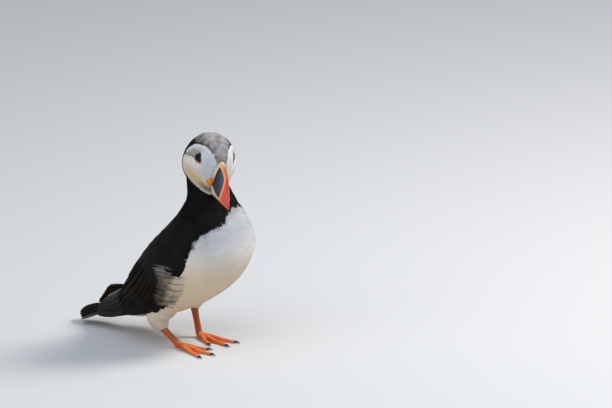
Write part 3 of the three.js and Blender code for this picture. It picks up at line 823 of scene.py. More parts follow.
@dataclass
class LegForm:
    """Thigh, shank and webbed foot of one leg."""

    leg: Leg
    shank_widths: tuple = (2.65, 2.3, 2.58)
    shank_depths: tuple = (3.91, 3.13, 3.4)
    shank_squareness: float = 2.2
    shank_rings: int = 70
    shank_scutes: int = 12
    scute_step: float = 0.02  # how much each scale of the shank stands out, as a share
    heel_radius: float = 3.1
    heel_height: float = 3.0
    toe_names: tuple = ("inner", "middle", "outer")
    toe_lengths: tuple = (27.0, 38.0, 37.0)
    toe_spreads: tuple = (-20.0, 1.0, 21.0)  # degrees away from the midline
    toe_along: tuple = (0.0, 0.35, 0.7, 1.0)
    toe_heights: tuple = (3.0, 2.38, 1.58, 1.13)
    toe_radii: tuple = (2.5, 2.3, 1.58, 1.5)
    toe_scute: float = 1.9  # length of one scale across a toe
    web_thick: float = 1.0
    web_reach: tuple = (0.06, 0.84)
    web_sag: float = 0.17
    web_pleat: float = 0.16
    claw_along: tuple = (GAP, 3.1, 6.2)
    claw_heights: tuple = (1.25, 1.63, 0.45)
    claw_radii: tuple = (1.25, 0.9, 0.4)
    claw_narrow: float = 0.86  # width as a share of the height

    def thigh(self) -> Limb:
        """The feathered part of the leg."""
        leg = self.leg
        return Limb((leg.hip, leg.knee, leg.cuff), leg.halves, leg.halves)

    def shank(self) -> Limb:
        """The bare shank, from inside the thigh's cuff to the toes."""
        leg = self.leg
        path = (leg.ankle, tuple((np.array(leg.ankle) + leg.joint) / 2), leg.joint)
        return Limb(path, self.shank_widths, self.shank_depths, self.shank_squareness)

    def toe_ways(self) -> Array:
        """The level direction of each toe."""
        turn = np.radians(self.leg.heading + self.leg.side.value * np.array(self.toe_spreads))
        return np.stack([np.cos(turn), np.sin(turn), np.zeros(3)], -1)

    def toe_tips(self) -> Array:
        """Where each toe ends."""
        tips = np.array(self.leg.joint) + self.toe_ways() * np.array(self.toe_lengths)[:, None]
        tips[:, 2] = self.toe_heights[-1]
        return tips

    def rod(self, path: Array, way: Array, half: Array, narrow: float, around: int) -> Shell:
        """A rod along a path that lies in the upright plane of way: half its height at each ring."""
        across = np.cross(UP, way) * (narrow * half)[:, None]
        return loft(tube(path, UP * half[:, None], across, around))

    def toes(self, rings: int = 60, around: int = 20) -> list[Shell]:
        """The three toes: tubes with a low step at each scale and a swelling at each knuckle.

        Args:
            rings: Rings along a toe.
            around: Corners in a ring.

        Returns:
            One shell for each toe.
        """
        made = []
        table = np.stack([self.toe_along, self.toe_heights, self.toe_radii], -1)
        along, height, radius = stretched(table, np.linspace(0, 1, rings)).T
        for way, length in zip(self.toe_ways(), self.toe_lengths):
            travelled = along * length
            path = self.leg.joint + way * travelled[:, None]
            path[:, 2] = height
            scale = (travelled / self.toe_scute) % 1
            knuckle = 0.16 * np.cos(TURN * travelled / (length / 3))
            half = radius * (1 + 0.05 * knuckle) + 0.13 * (scale - 0.5)
            made.append(self.rod(path, way, half, 1.0, around))
        return made

    def webs(self, rings: int = 26, across: int = 30) -> list[Shell]:
        """The two webs: thin sheets with a hollow front edge and low wrinkles along the toes.

        Args:
            rings: Rings from the joint to the front edge.
            across: Corners from toe to toe.

        Returns:
            One shell for each web.
        """
        made = []
        joint, tips = np.array(self.leg.joint, float) * (1, 1, 0), self.toe_tips() * (1, 1, 0)
        share, w = np.meshgrid(np.linspace(0, 1, rings), np.linspace(0, 1, across), indexing="ij")
        for first, second in zip(tips, tips[1:]):
            sag = 1 - self.web_sag * 4 * w * (1 - w) * share
            reach = blend(*self.web_reach, share) * sag
            place = blend(joint, blend(first, second, w[..., None]), reach[..., None])
            pleat = self.web_pleat * np.sin(w * TURN * 3.5 + 1.5 * share) * share * np.sin(math.pi * w)
            upper = place + UP * (self.web_thick + pleat)[..., None]
            made.append(loft(np.concatenate([upper, place[:, ::-1]], 1)))
        return made

    def heel(self, rings: int = 16, around: int = 24) -> Shell:
        """The round joint that the toes spring from.

        Args:
            rings: Rings from the floor up.
            around: Corners in a ring.

        Returns:
            The shell.
        """
        tilt = np.linspace(-math.pi / 2, math.pi / 2, rings)
        centre = np.array([self.leg.joint[0], self.leg.joint[1], self.heel_height])
        path = centre + UP * (self.heel_radius * np.sin(tilt))[:, None]
        half = (self.heel_radius * np.cos(tilt))[:, None] + 1e-3
        return loft(tube(path, np.array([1.0, 0, 0]) * half, np.array([0, 1.0, 0]) * half, around))

    def bare(self) -> list[Shell]:
        """Everything below the feathers, before it is made one."""
        shank, share = self.shank(), np.linspace(0, 1, self.shank_rings)
        centre = shank.centre(share)[:, None]
        step = self.scute_step * ((share * self.shank_scutes) % 1 - 0.5)
        grid = centre + (shank.grid(self.shank_rings, 28) - centre) * (1 + step)[:, None, None]
        return [loft(grid), self.heel(), *self.toes(), *self.webs()]

    def claws(self, rings: int = 14, around: int = 16) -> Shell:
        """The three claws, each a curved cone with its point on the floor.

        Args:
            rings: Rings along a claw.
            around: Corners in a ring.

        Returns:
            The three as one shell.
        """
        share = np.linspace(0, 1, rings)
        table = np.stack([self.claw_along, self.claw_heights, self.claw_radii], -1)
        along, height, radius = stretched(table, share).T
        radius = radius * np.sqrt(held(1.02 - share**6))
        shells = []
        for way, tip in zip(self.toe_ways(), self.toe_tips()):
            path = tip + way * along[:, None]
            path[:, 2] = np.maximum(height, radius)
            shells.append(self.rod(path, way, radius, self.claw_narrow, around))
        return Shell.joined(shells)


# ---------------- markings


FACE_WEDGE = Spot((-26.0, 13.8), (7.5, 3.2), 40)  # grey above and behind the eye, at f and u
GAPE_PATCH = Spot((-5.0, -11.0), (5.6, 2.9), -20)
LORES = (0.26, Spot((-9, 11), (6, 9))), (0.16, Spot((-7, 1), (6, 7)))
# A painted highlight below the eye, which takes grey away.
UNDER_EYE_HIGHLIGHT = Spot((-22, 5.5), (7, 3.5))
CHEEK_SHADE = Spot((-15.5, -8), (16, 9), -36)
# Painted warm bounce light on the lower cheek.
CHEEK_BOUNCE_LIGHT = Spot((-15.5, -6.6), (17, 8.0), -36)
COLLAR_SMUDGE = Spot((6.42, 63), (0.16, 4))  # at a station and degrees from the breast's midline


@dataclass
class Markings:
    """The colour pattern of the plumage, for skin and feathers alike.

    A marking is four shares: dark plumage, ash grey, warm cream or tan, and brown. Some are painted light:
    shade and bounce light on the white and the face, sunlit sheen on the crown.
    """

    body: BodyForm
    head: HeadForm
    # Station of the collar's lower border at angles away from the breast's midline, in degrees.
    collar_angles: tuple = (-180, -80, -60, -45, -29, 0, 21, 38, 54, 63, 71, 80, 180)
    collar_stations: tuple = (5.9, 6.5, 7.2, 7.75, 7.98, 8.05, 7.66, 7.2, 7.02, 6.84, 6.68, 6.25, 5.9)
    # Angle from the midline where the white ends below the shoulder, at stations.
    flank_stations: tuple = (0.0, 2.2, 3.0, 4.5, 4.9, 5.4, 5.9, 6.3, 6.8)
    flank_angles: tuple = (95, 95, 106, 106, 91, 84, 82, 78, 68)
    # The white face in the side view of the head, as f and u in order round it.
    face: tuple = (
        (1.5, 13), (-2.3, 16.4), (-8, 20), (-13.7, 22.3), (-20.7, 22.9), (-27.5, 21.2), (-32, 17.2),
        (-34.6, 10), (-34.6, 2), (-31.5, -4.4), (-26, -9), (-18.6, -12.6), (-12, -15.2), (-6, -16.9),
        (1.5, -17.2),
    )

    def __post_init__(self) -> None:
        """Rounds the face's outline."""
        self.face_outline = stretched(np.array(self.face, float), np.linspace(0, 1, 90))

    def on_body(self, t: Array, a: Array, place: Array) -> Array:
        """Markings of the trunk and neck at station t and angle a.

        Args:
            t: Stations.
            a: Angles from the back's midline.
            place: The places there.

        Returns:
            The four shares of each.
        """
        turned, height = np.degrees(a) - 180, place[..., 2]
        border = np.interp(turned, self.collar_angles, self.collar_stations)
        jag = 0.06 * ripple(place, 7, 3) + 0.035 * ripple(place, 2.6, 4)
        below = smooth_step(t - border + jag, 0.04, -0.04)
        flank = np.interp(t, self.flank_stations, self.flank_angles) + 3 * ripple(place, 5, 7)
        white = below * smooth_step(np.abs(turned), flank + 2, flank - 2)
        smudge = 0.55 * COLLAR_SMUDGE.at(t, turned) * (ripple(place, 3.0, 9) > -0.1)
        dark = 1 - white + smudge * white
        # Painted light on the white: warm bounce light towards the bottom, bluish sky shade towards the top.
        warm = held(0.02 + 0.56 * smooth_step(height, 114, 66) + 0.04 * ripple(place, 24, 5)) * white
        ash = held(0.02 + 0.42 * smooth_step(height, 88, 116) + 0.04 * ripple(place, 16, 6)) * white
        brown = held(0.15 + 0.35 * smooth_step(height, 120, 70) + 0.15 * ripple(place, 14, 8))
        return np.stack([dark, ash, warm, brown], -1)

    def on_head(self, own: Array) -> Array:
        """Markings of the head at f, l and u.

        Args:
            own: Places as f, l and u.

        Returns:
            The four shares of each.
        """
        f, l, u = (own[..., k] for k in range(3))
        inside = outline_distance(f, u, self.face_outline) + 0.35 * ripple(own, 4, 11)
        white = smooth_step(inside, -0.3, 0.5)
        # The greys of the face, with painted shade towards its rear and on the cheek, and less grey under a
        # painted highlight below the eye.
        wedge = FACE_WEDGE.at(f, u) * smooth_step(inside, 1.2, 3.0)
        furrow = np.exp(-((self.head.furrow_distance(f, u) / 0.85) ** 2))
        gape = held(1.3 * GAPE_PATCH.at(f, u) * smooth_step(inside, 1.0, 2.4))
        lores = sum(strength * spot.at(f, u) for strength, spot in LORES)
        shade = 0.05 + 0.10 * smooth_step(f, -16, -30) + 0.16 * CHEEK_SHADE.at(f, u)
        streaked = 0.72 * wedge * (1 + 0.35 * ripple(own, 1.6, 17))
        ash = held(streaked + furrow + 0.35 * gape + lores - 0.5 * UNDER_EYE_HIGHLIGHT.at(f, u) + shade)
        # Painted warm bounce light on the lower face, weaker along the border but added along its lower rim,
        # and a warm tint in the grey wedge.
        tan = 0.72 * CHEEK_BOUNCE_LIGHT.at(f, u) * (1 + 0.2 * ripple(own, 6, 18))
        rim = smooth_step(inside, 2.4, 1.0)
        warm = held(tan * (1 - 0.60 * rim) + 0.22 * rim * smooth_step(u, 0, -8) + 0.25 * wedge)
        # Painted sunlit sheen that greys the black crown, most at its top middle and front, and the grey
        # strip that it sends down to the bill.
        edge = blend(-1.6, -0.5, smooth_step(f, -26, -14))
        crown = smooth_step(u, 19.0, 22.0) * smooth_step(inside, edge + 1.0, edge - 0.8)
        centre, front = smooth_step(np.abs(l), 17, 6), smooth_step(f, -22, -3)
        crown_sheen = crown * held(0.34 + 0.46 * centre + 0.15 * front + 0.22 * ripple(own, 9, 12))
        strip = smooth_step(f, -9, -4) * smooth_step(u, 11, 14) * smooth_step(inside, 0.0, -0.7)
        crown_sheen = np.maximum(crown_sheen, 0.9 * strip)
        # Browner on the crown: painted sunlit sheen there too.
        brown = held(0.35 + 0.35 * crown + 0.2 * ripple(own, 12, 13))
        dark = np.maximum(1 - white, 0.85 * gape)
        return np.stack([dark, blend(crown_sheen, ash, white), warm * white, brown], -1)

    def on_wing(self, place: Array) -> Array:
        """Markings of the wings and tail, which are dark all over."""
        brown = held(0.25 + 0.55 * smooth_step(place[..., 0], 30, -60) + 0.25 * ripple(place, 18, 21))
        zero = np.zeros_like(brown)
        return np.stack([zero + 1, zero, zero, brown], -1)

    def anywhere(self, place: Array) -> Array:
        """Markings at any places on the plumage, from where they lie.

        Args:
            place: Places in the bird's frame.

        Returns:
            The four shares of each.
        """
        own = self.head.to_head(place)
        t, a, _, surface = self.body.locate(place)
        centre = self.body.section(t)[0]
        outside = np.linalg.norm(place - centre, axis=-1) - np.linalg.norm(surface - centre, axis=-1)
        on_wing = (outside > -0.4) & (np.abs(np.degrees(a) - 180) > 45) & (t < 7)
        marks = np.where(on_wing[:, None], self.on_wing(place), self.on_body(t, a, place))
        return np.where(self.head.holds(own)[:, None], self.on_head(own), marks)


# ---------------- finishes


class Wire:
    """A socket that can be used in sums, each sum adding a Math node."""

    def __init__(self, painter: "Painter", socket: bpy.types.NodeSocket) -> None:
        """Keeps the socket with the painter that adds to it."""
        self.painter = painter
        self.socket = socket

    def sum(self, operation: str, *others: "Wire | float") -> "Wire":
        """The result of a Math node on this socket and the others."""
        return self.painter.math(operation, self, *others)

    def __add__(self, other: "Wire | float") -> "Wire":
        """This and the other."""
        return self.sum("ADD", other)

    def __sub__(self, other: "Wire | float") -> "Wire":
        """This less the other."""
        return self.sum("SUBTRACT", other)

    def __mul__(self, other: "Wire | float") -> "Wire":
        """This times the other."""
        return self.sum("MULTIPLY", other)

    def __rsub__(self, other: float) -> "Wire":
        """The other less this."""
        return self.painter.math("SUBTRACT", other, self)

    __radd__ = __add__
    __rmul__ = __mul__

    def step(self, low: float, high: float) -> "Wire":
        """0 at low and 1 at high, with an S-curve between."""
        settings = {"interpolation_type": "SMOOTHSTEP"}
        return self.painter.add("ShaderNodeMapRange", settings, {0: self, 1: low, 2: high})

    def bump(self, centre: float, half: float) -> "Wire":
        """1 at centre, falling to 0 at half on either side."""
        return (self - centre).sum("ABSOLUTE").step(half, 0.35 * half)


class Painter:
    """Builds one material's nodes."""

    def __init__(self, name: str) -> None:
        """Starts an empty material."""
        self.material = bpy.data.materials.new(name)
        self.material.use_nodes = True
        self.tree = self.material.node_tree
        self.tree.nodes.clear()

    def add(
        self, kind: str, settings: dict | None = None, inputs: dict | None = None, output: int | str = 0
    ) -> Wire:
        """Adds a node.

        Args:
            kind: Blender's name for the node.
            settings: The node's own properties, set first.
            inputs: Sockets by name or number, each with a value or a Wire.
            output: The socket to hand back.

        Returns:
            One of the node's outputs.
        """
        node = self.tree.nodes.new(kind)
        for key, value in (settings or {}).items():
            setattr(node, key, value)
        for key, value in (inputs or {}).items():
            if isinstance(value, Wire):
                self.tree.links.new(value.socket, node.inputs[key])
            else:
                node.inputs[key].default_value = value
        return Wire(self, node.outputs[output] if len(node.outputs) else None)

    def math(self, operation: str, *values: "Wire | float") -> Wire:
        """The result of a Math node."""
        return self.add("ShaderNodeMath", {"operation": operation}, dict(enumerate(values)))

    def value(self, name: str, output: str) -> Wire:
        """A value that the mesh carries on its points."""
        settings = {"attribute_name": name, "attribute_type": "GEOMETRY"}
        return self.add("ShaderNodeAttribute", settings, output=output)

    def parts(self, name: str, output: str = "Vector") -> list[Wire]:
        """The three numbers of a vector or colour that the mesh carries."""
        split = self.add("ShaderNodeSeparateXYZ", None, {0: self.value(name, output)})
        return [Wire(self, socket) for socket in split.socket.node.outputs]

    def place(self) -> Wire:
        """The place on the piece, in metres."""
        return self.add("ShaderNodeTexCoord", output="Object")

    def noise(self, size: float, detail: float = 3.0) -> Wire:
        """Noise from 0 to 1 whose lumps are size millimetres across."""
        inputs = {"Vector": self.place(), "Scale": 1 / (size * MM), "Detail": detail}
        return self.add("ShaderNodeTexNoise", None, inputs)

    def mix(self, first: "Wire | Colour", second: "Wire | Colour", share: "Wire | float") -> Wire:
        """Two colours mixed by share."""
        full = [c if isinstance(c, Wire) else (*c, 1.0) for c in (first, second)]
        return self.add("ShaderNodeMix", {"data_type": "RGBA"}, {0: share, 6: full[0], 7: full[1]}, 2)

    def shaded(self, colour: Wire, level: Wire) -> Wire:
        """A colour made lighter or darker by a number near 1."""
        return self.add("ShaderNodeVectorMath", {"operation": "SCALE"}, {0: colour, "Scale": level})

    def finish(
        self, base: "Wire | Colour", relief: Wire | None = None, depth: float = 0.1, **sockets: "Wire | float"
    ) -> Material:
        """Ends the material.

        Args:
            base: The base colour.
            relief: Height of the fine relief from 0 to 1, or None.
            depth: How many millimetres the relief's 1 stands for.
            sockets: Other inputs of the shader, with _ for a space.

        Returns:
            The finished material.
        """
        inputs = {key.replace("_", " "): value for key, value in sockets.items()}
        inputs["Base Color"] = base if isinstance(base, Wire) else (*base, 1.0)
        if relief is not None:
            heights = {"Height": relief, "Distance": depth * MM, "Strength": 1.0}
            inputs["Normal"] = self.add("ShaderNodeBump", None, heights)
        shader = self.add("ShaderNodeBsdfPrincipled", None, inputs)
        self.add("ShaderNodeOutputMaterial", None, {"Surface": shader})
        return self.material


@dataclass(frozen=True)
class PlumageFinish:
    """Feathers: white and dark plumage with their tints, mixed by the markings of each feather."""

    name: str = "plumage"
    white: Colour = (0.80, 0.81, 0.83)
    # ash: the face's grey markings, and painted bluish shade on the white of body and face
    ash: Colour = (0.125, 0.150, 0.195)
    # cream: mostly painted warm bounce light on the white; also the warm tint of the grey wedge and of pale
    # flank barbs
    cream: Colour = (0.71, 0.46, 0.15)
    black: Colour = (0.0025, 0.0025, 0.0032)
    # brown: worn dark feathers, and part of the crown's painted sunlit sheen
    brown: Colour = (0.0115, 0.0078, 0.0050)
    # grey: painted sunlit sheen on the black crown and a painted highlight on the primaries' upper edge, and
    # paler dark feathers elsewhere
    grey: Colour = (0.34, 0.315, 0.315)

    def material(self) -> Material:
        """The finish, from the marks and tuft of each point. Dark feathers vary more than white ones."""
        p = Painter(self.name)
        dark, ash, warm = p.parts("marks", "Color")
        brown = p.value("marks", "Alpha")
        along, across, seed = p.parts("tuft")
        light = p.mix(p.mix(self.white, self.ash, ash), self.cream, warm)
        deep = p.mix(p.mix(self.black, self.brown, brown), self.grey, ash)
        colour = p.mix(light, deep, dark)
        mottle = p.noise(9.0, 4.0) * 0.30 + p.noise(1.6, 2.0) * 0.18
        shaft = across.sum("ABSOLUTE").step(0.16, 0.0) * 0.10
        # Each feather is darker towards its root: painted shade where it slips under its neighbours.
        level = 0.86 - dark * 0.12 + seed * (0.05 + dark * 0.25) + along * 0.07 - shaft
        level = level + mottle * (0.16 + dark * 0.84)
        rough = 0.80 - dark * 0.12
        return p.finish(p.shaded(colour, level), Roughness=rough, Specular_IOR_Level=0.09)


@dataclass(frozen=True)
class UnderskinFinish:
    """The feathered skin under the coat: the plumage's markings, painted bounce light among them, a little
    duller.
    """

    name: str = "plumage_skin"
    white: Colour = (0.78, 0.78, 0.80)
    # warm: mostly painted warm bounce light, as on the feathers
    warm: Colour = (0.62, 0.47, 0.26)
    black: Colour = (0.012, 0.011, 0.012)

    def material(self) -> Material:
        """The finish as a material."""
        p = Painter(self.name)
        dark, _, warm = p.parts("marks", "Color")
        colour = p.mix(p.mix(self.white, self.warm, warm), self.black, dark)
        down = p.noise(0.9, 4.0)
        return p.finish(p.shaded(colour, 0.8 + down * 0.4), down, 0.3, Roughness=0.9)


@dataclass(frozen=True)
class LegFinish:
    """Scaly skin of the shanks, toes and webs."""

    name: str = "leg_skin"
    orange: Colour = (0.80, 0.155, 0.022)
    light: Colour = (0.88, 0.30, 0.095)
    red: Colour = (0.50, 0.055, 0.016)
    shade: Colour = (0.24, 0.055, 0.014)

    def material(self) -> Material:
        """The finish as a material."""
        p = Painter(self.name)
        toe, web, shank = p.parts("limb")
        patches = p.noise(4.5, 4.0)
        colour = p.mix(self.orange, self.red, web * 0.55 + patches.step(0.45, 0.75) * 0.35)
        colour = p.mix(colour, self.light, toe * patches.step(0.75, 0.35) * 0.75)
        colour = p.mix(colour, self.shade, shank * 0.58)
        where = {"Vector": p.place(), "Scale": 1 / (0.75 * MM)}
        scales = p.add("ShaderNodeTexVoronoi", {"feature": "DISTANCE_TO_EDGE"}, where, "Distance")
        plates = scales.step(0.0, 0.16)
        grime = p.noise(0.8, 3.0)
        level = 0.74 + plates * 0.16 + grime * 0.20
        return p.finish(
            p.shaded(colour, level),
            plates * 0.7 + grime * 0.3,
            0.10,
            Roughness=0.42 + grime * 0.2,
            Specular_IOR_Level=0.45,
            Subsurface_Weight=0.08,
            Subsurface_Scale=0.8 * MM,
        )


@dataclass(frozen=True)
class BillFinish:
    """Horn of the bill: slate plate, cream ridges and a red tip, all placed in the head's frame."""

    name: str = "bill_horn"
    slate: Colour = (0.007, 0.008, 0.011)
    slate_light: Colour = (0.065, 0.080, 0.180)
    cream: Colour = (0.80, 0.60, 0.33)
    orange: Colour = (0.88, 0.25, 0.035)
    red: Colour = (0.72, 0.030, 0.022)
    pale: Colour = (0.86, 0.50, 0.36)
    flesh: Colour = (0.72, 0.50, 0.40)
    jaw_tip: Colour = (0.78, 0.22, 0.06)

    def material(self) -> Material:
        """The finish as a material that reads f, u and the distance past the divider."""
        p = Painter(self.name)
        f, u, past = p.parts("horn")
        jaw, _, _ = p.parts("jaw")
        streaks = p.noise(1.4, 4.0)
        sheen = (f * 0.050 + u * 0.036 + streaks * 0.8).step(0.70, 1.60)
        slate = p.mix(self.slate, self.slate_light, sheen)
        glow = (past * -0.42 + streaks * 0.5 + f.step(12.0, 2.0) * 0.8).step(-1.35, -0.25)
        tip = p.mix(self.red, self.orange, glow)
        tip = p.mix(tip, self.jaw_tip, jaw * 0.8)
        colour = p.mix(slate, tip, past.step(0.2, 0.7))
        for groove in GROOVES:
            line = past.bump(groove, 0.50) * (u * -1.0).step(-10.0, -2.0)
            colour = p.mix(colour, self.pale, line * 0.62)
        colour = p.mix(colour, self.cream, past.bump(0.0, 0.95))
        culmen = f.step(8.0, 2.0) * past.step(0.4, 1.4)
        colour = p.mix(colour, self.cream, culmen * 0.85)
        jaw_base = jaw * f.step(17.0, 8.0) * past.step(-0.2, 0.6)
        colour = p.mix(colour, self.flesh, jaw_base * 0.9)
        base = (f - u * 0.025).step(0.50, 0.10)
        warm_base = p.mix(self.cream, self.flesh, u.step(-4.0, -7.0))
        colour = p.mix(colour, warm_base, base)
        pits = p.noise(0.55, 2.0)
        wear = p.noise(3.0, 5.0)
        return p.finish(
            p.shaded(colour, 0.78 + wear * 0.28 + pits * 0.14),
            pits * 0.5 + wear * 0.5,
            0.07,
            Roughness=0.34 + wear * 0.18,
            Specular_IOR_Level=0.5,
            Coat_Weight=0.12,
            Coat_Roughness=0.25,
        )


@dataclass(frozen=True)
class PlainSkinFinish:
    """Bare skin or horn of one colour with lumps and pores, lighter where the lumps stand high, and darker or
    lighter by a value on its points: painted shade and highlight, or a plate's own tone.
    """

    name: str
    colour: Colour
    dark: Colour
    light: Colour
    lump: float = 1.2
    gloss: float = 0.4

    def material(self) -> Material:
        """The finish as a material."""
        p = Painter(self.name)
        crease, _, _ = p.parts("crease")
        # Each point's value darkens the skin, or lightens it where negative: painted shade and highlight on
        # the eye ring, painted shade in the rosette's folds, and the plates' own tone.
        lumps = p.noise(self.lump, 4.0) - crease * 0.4
        fine = p.noise(self.lump * 0.3, 3.0)
        colour = p.mix(self.colour, self.dark, lumps.step(0.52, 0.28))
        colour = p.mix(colour, self.light, lumps.step(0.52, 0.80))
        rough = 0.75 - self.gloss * 0.6
        colour, relief = p.shaded(colour, 0.88 + fine * 0.24), lumps * 0.6 + fine * 0.4
        return p.finish(colour, relief, 0.08, Roughness=fine * 0.12 + rough, Specular_IOR_Level=0.5)


@dataclass(frozen=True)
class EyeFinish:
    """A wet dark eye: black pupil, brown iris with fine spokes and a dark edge."""

    name: str = "eye"
    pupil: Colour = (0.002, 0.002, 0.003)
    iris: Colour = (0.042, 0.018, 0.009)
    edge: Colour = (0.012, 0.006, 0.005)
    pupil_reach: float = 0.44  # distance from the middle, as a share of the ball's radius
    iris_reach: float = 0.72

    def material(self) -> Material:
        """The finish as a material that reads how far each point is from the gaze."""
        p = Painter(self.name)
        away, turn, _ = p.parts("gaze")
        spokes = (turn * 46.0).sum("SINE") * 0.18 + p.noise(0.35, 3.0) * 0.8
        iris = p.shaded(p.mix(self.iris, self.edge, away.step(0.5, 0.7)), 0.5 + spokes * 0.8)
        colour = p.mix(self.pupil, iris, away.step(self.pupil_reach - 0.02, self.pupil_reach + 0.03))
        colour = p.mix(colour, self.edge, away.step(self.iris_reach - 0.04, self.iris_reach + 0.02))
        return p.finish(colour, Roughness=0.20, Specular_IOR_Level=0.14)


@dataclass(frozen=True)
class FloorFinish:
    """Plain pale floor."""

    name: str = "floor"
    colour: Colour = (0.62, 0.62, 0.62)

    def material(self) -> Material:
        """The finish as a material."""
        return Painter(self.name).finish(self.colour, Roughness=0.9, Specular_IOR_Level=0.1)


# ---------------- ground and feathers


class Ground:
    """The smooth outer form of the whole plumage, which feathers are laid on."""

    def __init__(self, shells: list[Shell], voxel: float = 1.2, smoothing: int = 10) -> None:
        """Makes the overlapping forms of the parts one."""
        self.object = melted(Shell.joined(shells).object("plumage_form"), voxel, smoothing)

    def projected(self, points: Array, height: float) -> Array:
        """The places that lie height above the nearest places of the form.

        Args:
            points: Places near the form.
            height: Millimetres over it.

        Returns:
            The places found.
        """
        probe = Shell(points, np.empty((0, 3), int)).object("probe")
        wrap = probe.modifiers.new("wrap", "SHRINKWRAP")
        wrap.target = self.object
        wrap.wrap_method = "NEAREST_SURFACEPOINT"
        wrap.wrap_mode = "ABOVE_SURFACE"
        wrap.offset = height * MM
        graph = bpy.context.evaluated_depsgraph_get()
        found = places_of(probe.evaluated_get(graph).data)
        mesh = probe.data
        bpy.data.objects.remove(probe)
        bpy.data.meshes.remove(mesh)
        return found

    def settle(self, points: Array) -> tuple[Array, Array]:
        """The nearest places of the form, and the outward directions there."""
        flat = points.reshape(-1, 3)
        low, high = self.projected(flat, 0.0), self.projected(flat, 1.0)
        return low.reshape(points.shape), unit(high - low).reshape(points.shape)


@dataclass(frozen=True)
class Plume:
    """The outline and cross-section that all feathers of one kind share.

    along holds the rings from the root as shares of the length, and the tip is a point at 1.
    width is the half width at each ring as a share of the greatest. section holds the corners of
    the cross-section, each a share of the half width and of the thickness.
    """

    along: tuple[float, ...]
    width: tuple[float, ...]
    section: tuple[tuple[float, float], ...]
    soften: float = 0.45  # how far the soft normals lean towards the edges

    @property
    def stations(self) -> Array:
        """The rings and the tip, as shares of the length."""
        return np.append(self.along, 1.0)

    def faces(self) -> Array:
        """Triangles of one closed feather: the walls, a fan at the tip and the root's cap."""
        rings, around = len(self.along), len(self.section)
        j = np.arange(around)
        k = (j + 1) % around
        cells = [
            np.concatenate([np.stack([a + j, a + k, b + k], -1), np.stack([a + j, b + k, b + j], -1)])
            for a, b in ((r * around, (r + 1) * around) for r in range(rings - 1))
        ]
        last = (rings - 1) * around
        tip = np.stack([last + j, last + k, np.full(around, rings * around)], -1)
        root = np.stack([np.zeros(around - 2, int), j[2:], j[1:-1]], -1)
        faces = np.concatenate([*cells, tip, root])
        across, height = np.array(self.section).T
        spin = (across * np.roll(height, -1) - np.roll(across, -1) * height).sum()
        return faces if spin > 0 else faces[:, ::-1]

    def grown(self, centre: Array, side: Array, out: Array, half: Array, thick: float) -> Shell:
        """Many feathers as one shell, with soft normals and each point's along and across.

        Args:
            centre: Feathers by stations by 3.
            side: Unit vectors across each feather at each station.
            out: Unit vectors out of the body at each station.
            half: Greatest half width of each feather.
            thick: Their thickness.

        Returns:
            The shell.
        """
        count, rings, around = len(centre), len(self.along), len(self.section)
        across, height = np.array(self.section).T
        width = np.array(self.width)[:, None] * half[:, None, None] * across
        rise = np.sqrt(self.width)[:, None] * thick * height
        s, n = side[:, :rings, None], out[:, :rings, None]
        body = centre[:, :rings, None] + s * width[..., None] + n * rise[..., None]
        soft = unit(n + s * (self.soften * across)[:, None])
        points, soft = (
            np.concatenate([walls.reshape(count, rings * around, 3), tips[:, -1:]], 1).reshape(-1, 3)
            for walls, tips in ((body, centre), (soft, out))
        )
        spot = np.stack([
            np.append(np.repeat(self.along, around), 1.0),
            np.append(np.tile(across, rings), 0.0),
        ], -1)
        faces = self.faces() + (np.arange(count) * len(spot))[:, None, None]
        values = {"custom_normal": soft, "spot": np.tile(spot, (count, 1))}
        return Shell(points, faces.reshape(-1, 3), values)


# A fine hair, a longer three-sided barb, and a broad vane with a raised shaft.
HAIR = Plume((0.0, 0.55), (0.75, 1.0), ((-1, 0), (0, -0.6), (1, 0), (0, 1)))
BARB = Plume((0.0, 0.35, 0.72), (0.55, 1.0, 0.72), ((-1, 0), (1, 0), (0, 1)))
VANE = Plume(
    (0.0, 0.3, 0.6, 0.82, 0.95),
    (0.45, 0.9, 1.0, 0.82, 0.42),
    ((-1, 0), (0, -0.3), (1, 0), (0.45, 0.75), (0, 1.1), (-0.45, 0.75)),
)


@dataclass(frozen=True)
class Tract:
    """A tract of tufts on one surface: how many, how long and how they lie."""

    seed: int
    count: int  # tufts before those that lie under another part are left out
    lengths: tuple[float, ...]  # along the surface, from its t at the start to its t at the end
    half: float  # greatest half width, as a share of the length
    thick: float
    plume: Plume
    blades: int = 1  # barbs or vanes in one tuft
    splay: float = 12.0  # degrees between neighbouring blades
    stray: float = 7.0  # degrees, spread of the tufts' own headings
    lean: float = 0.0  # degrees towards the breast's midline
    depth: float = 1.6  # how deep the root lies
    rise: float = 0.15  # how high the tip stands over the form
    ruffle: float = 0.25  # how much more in ruffled places
    curve: float = 0.65  # under 1, a feather rises early and then lies flat


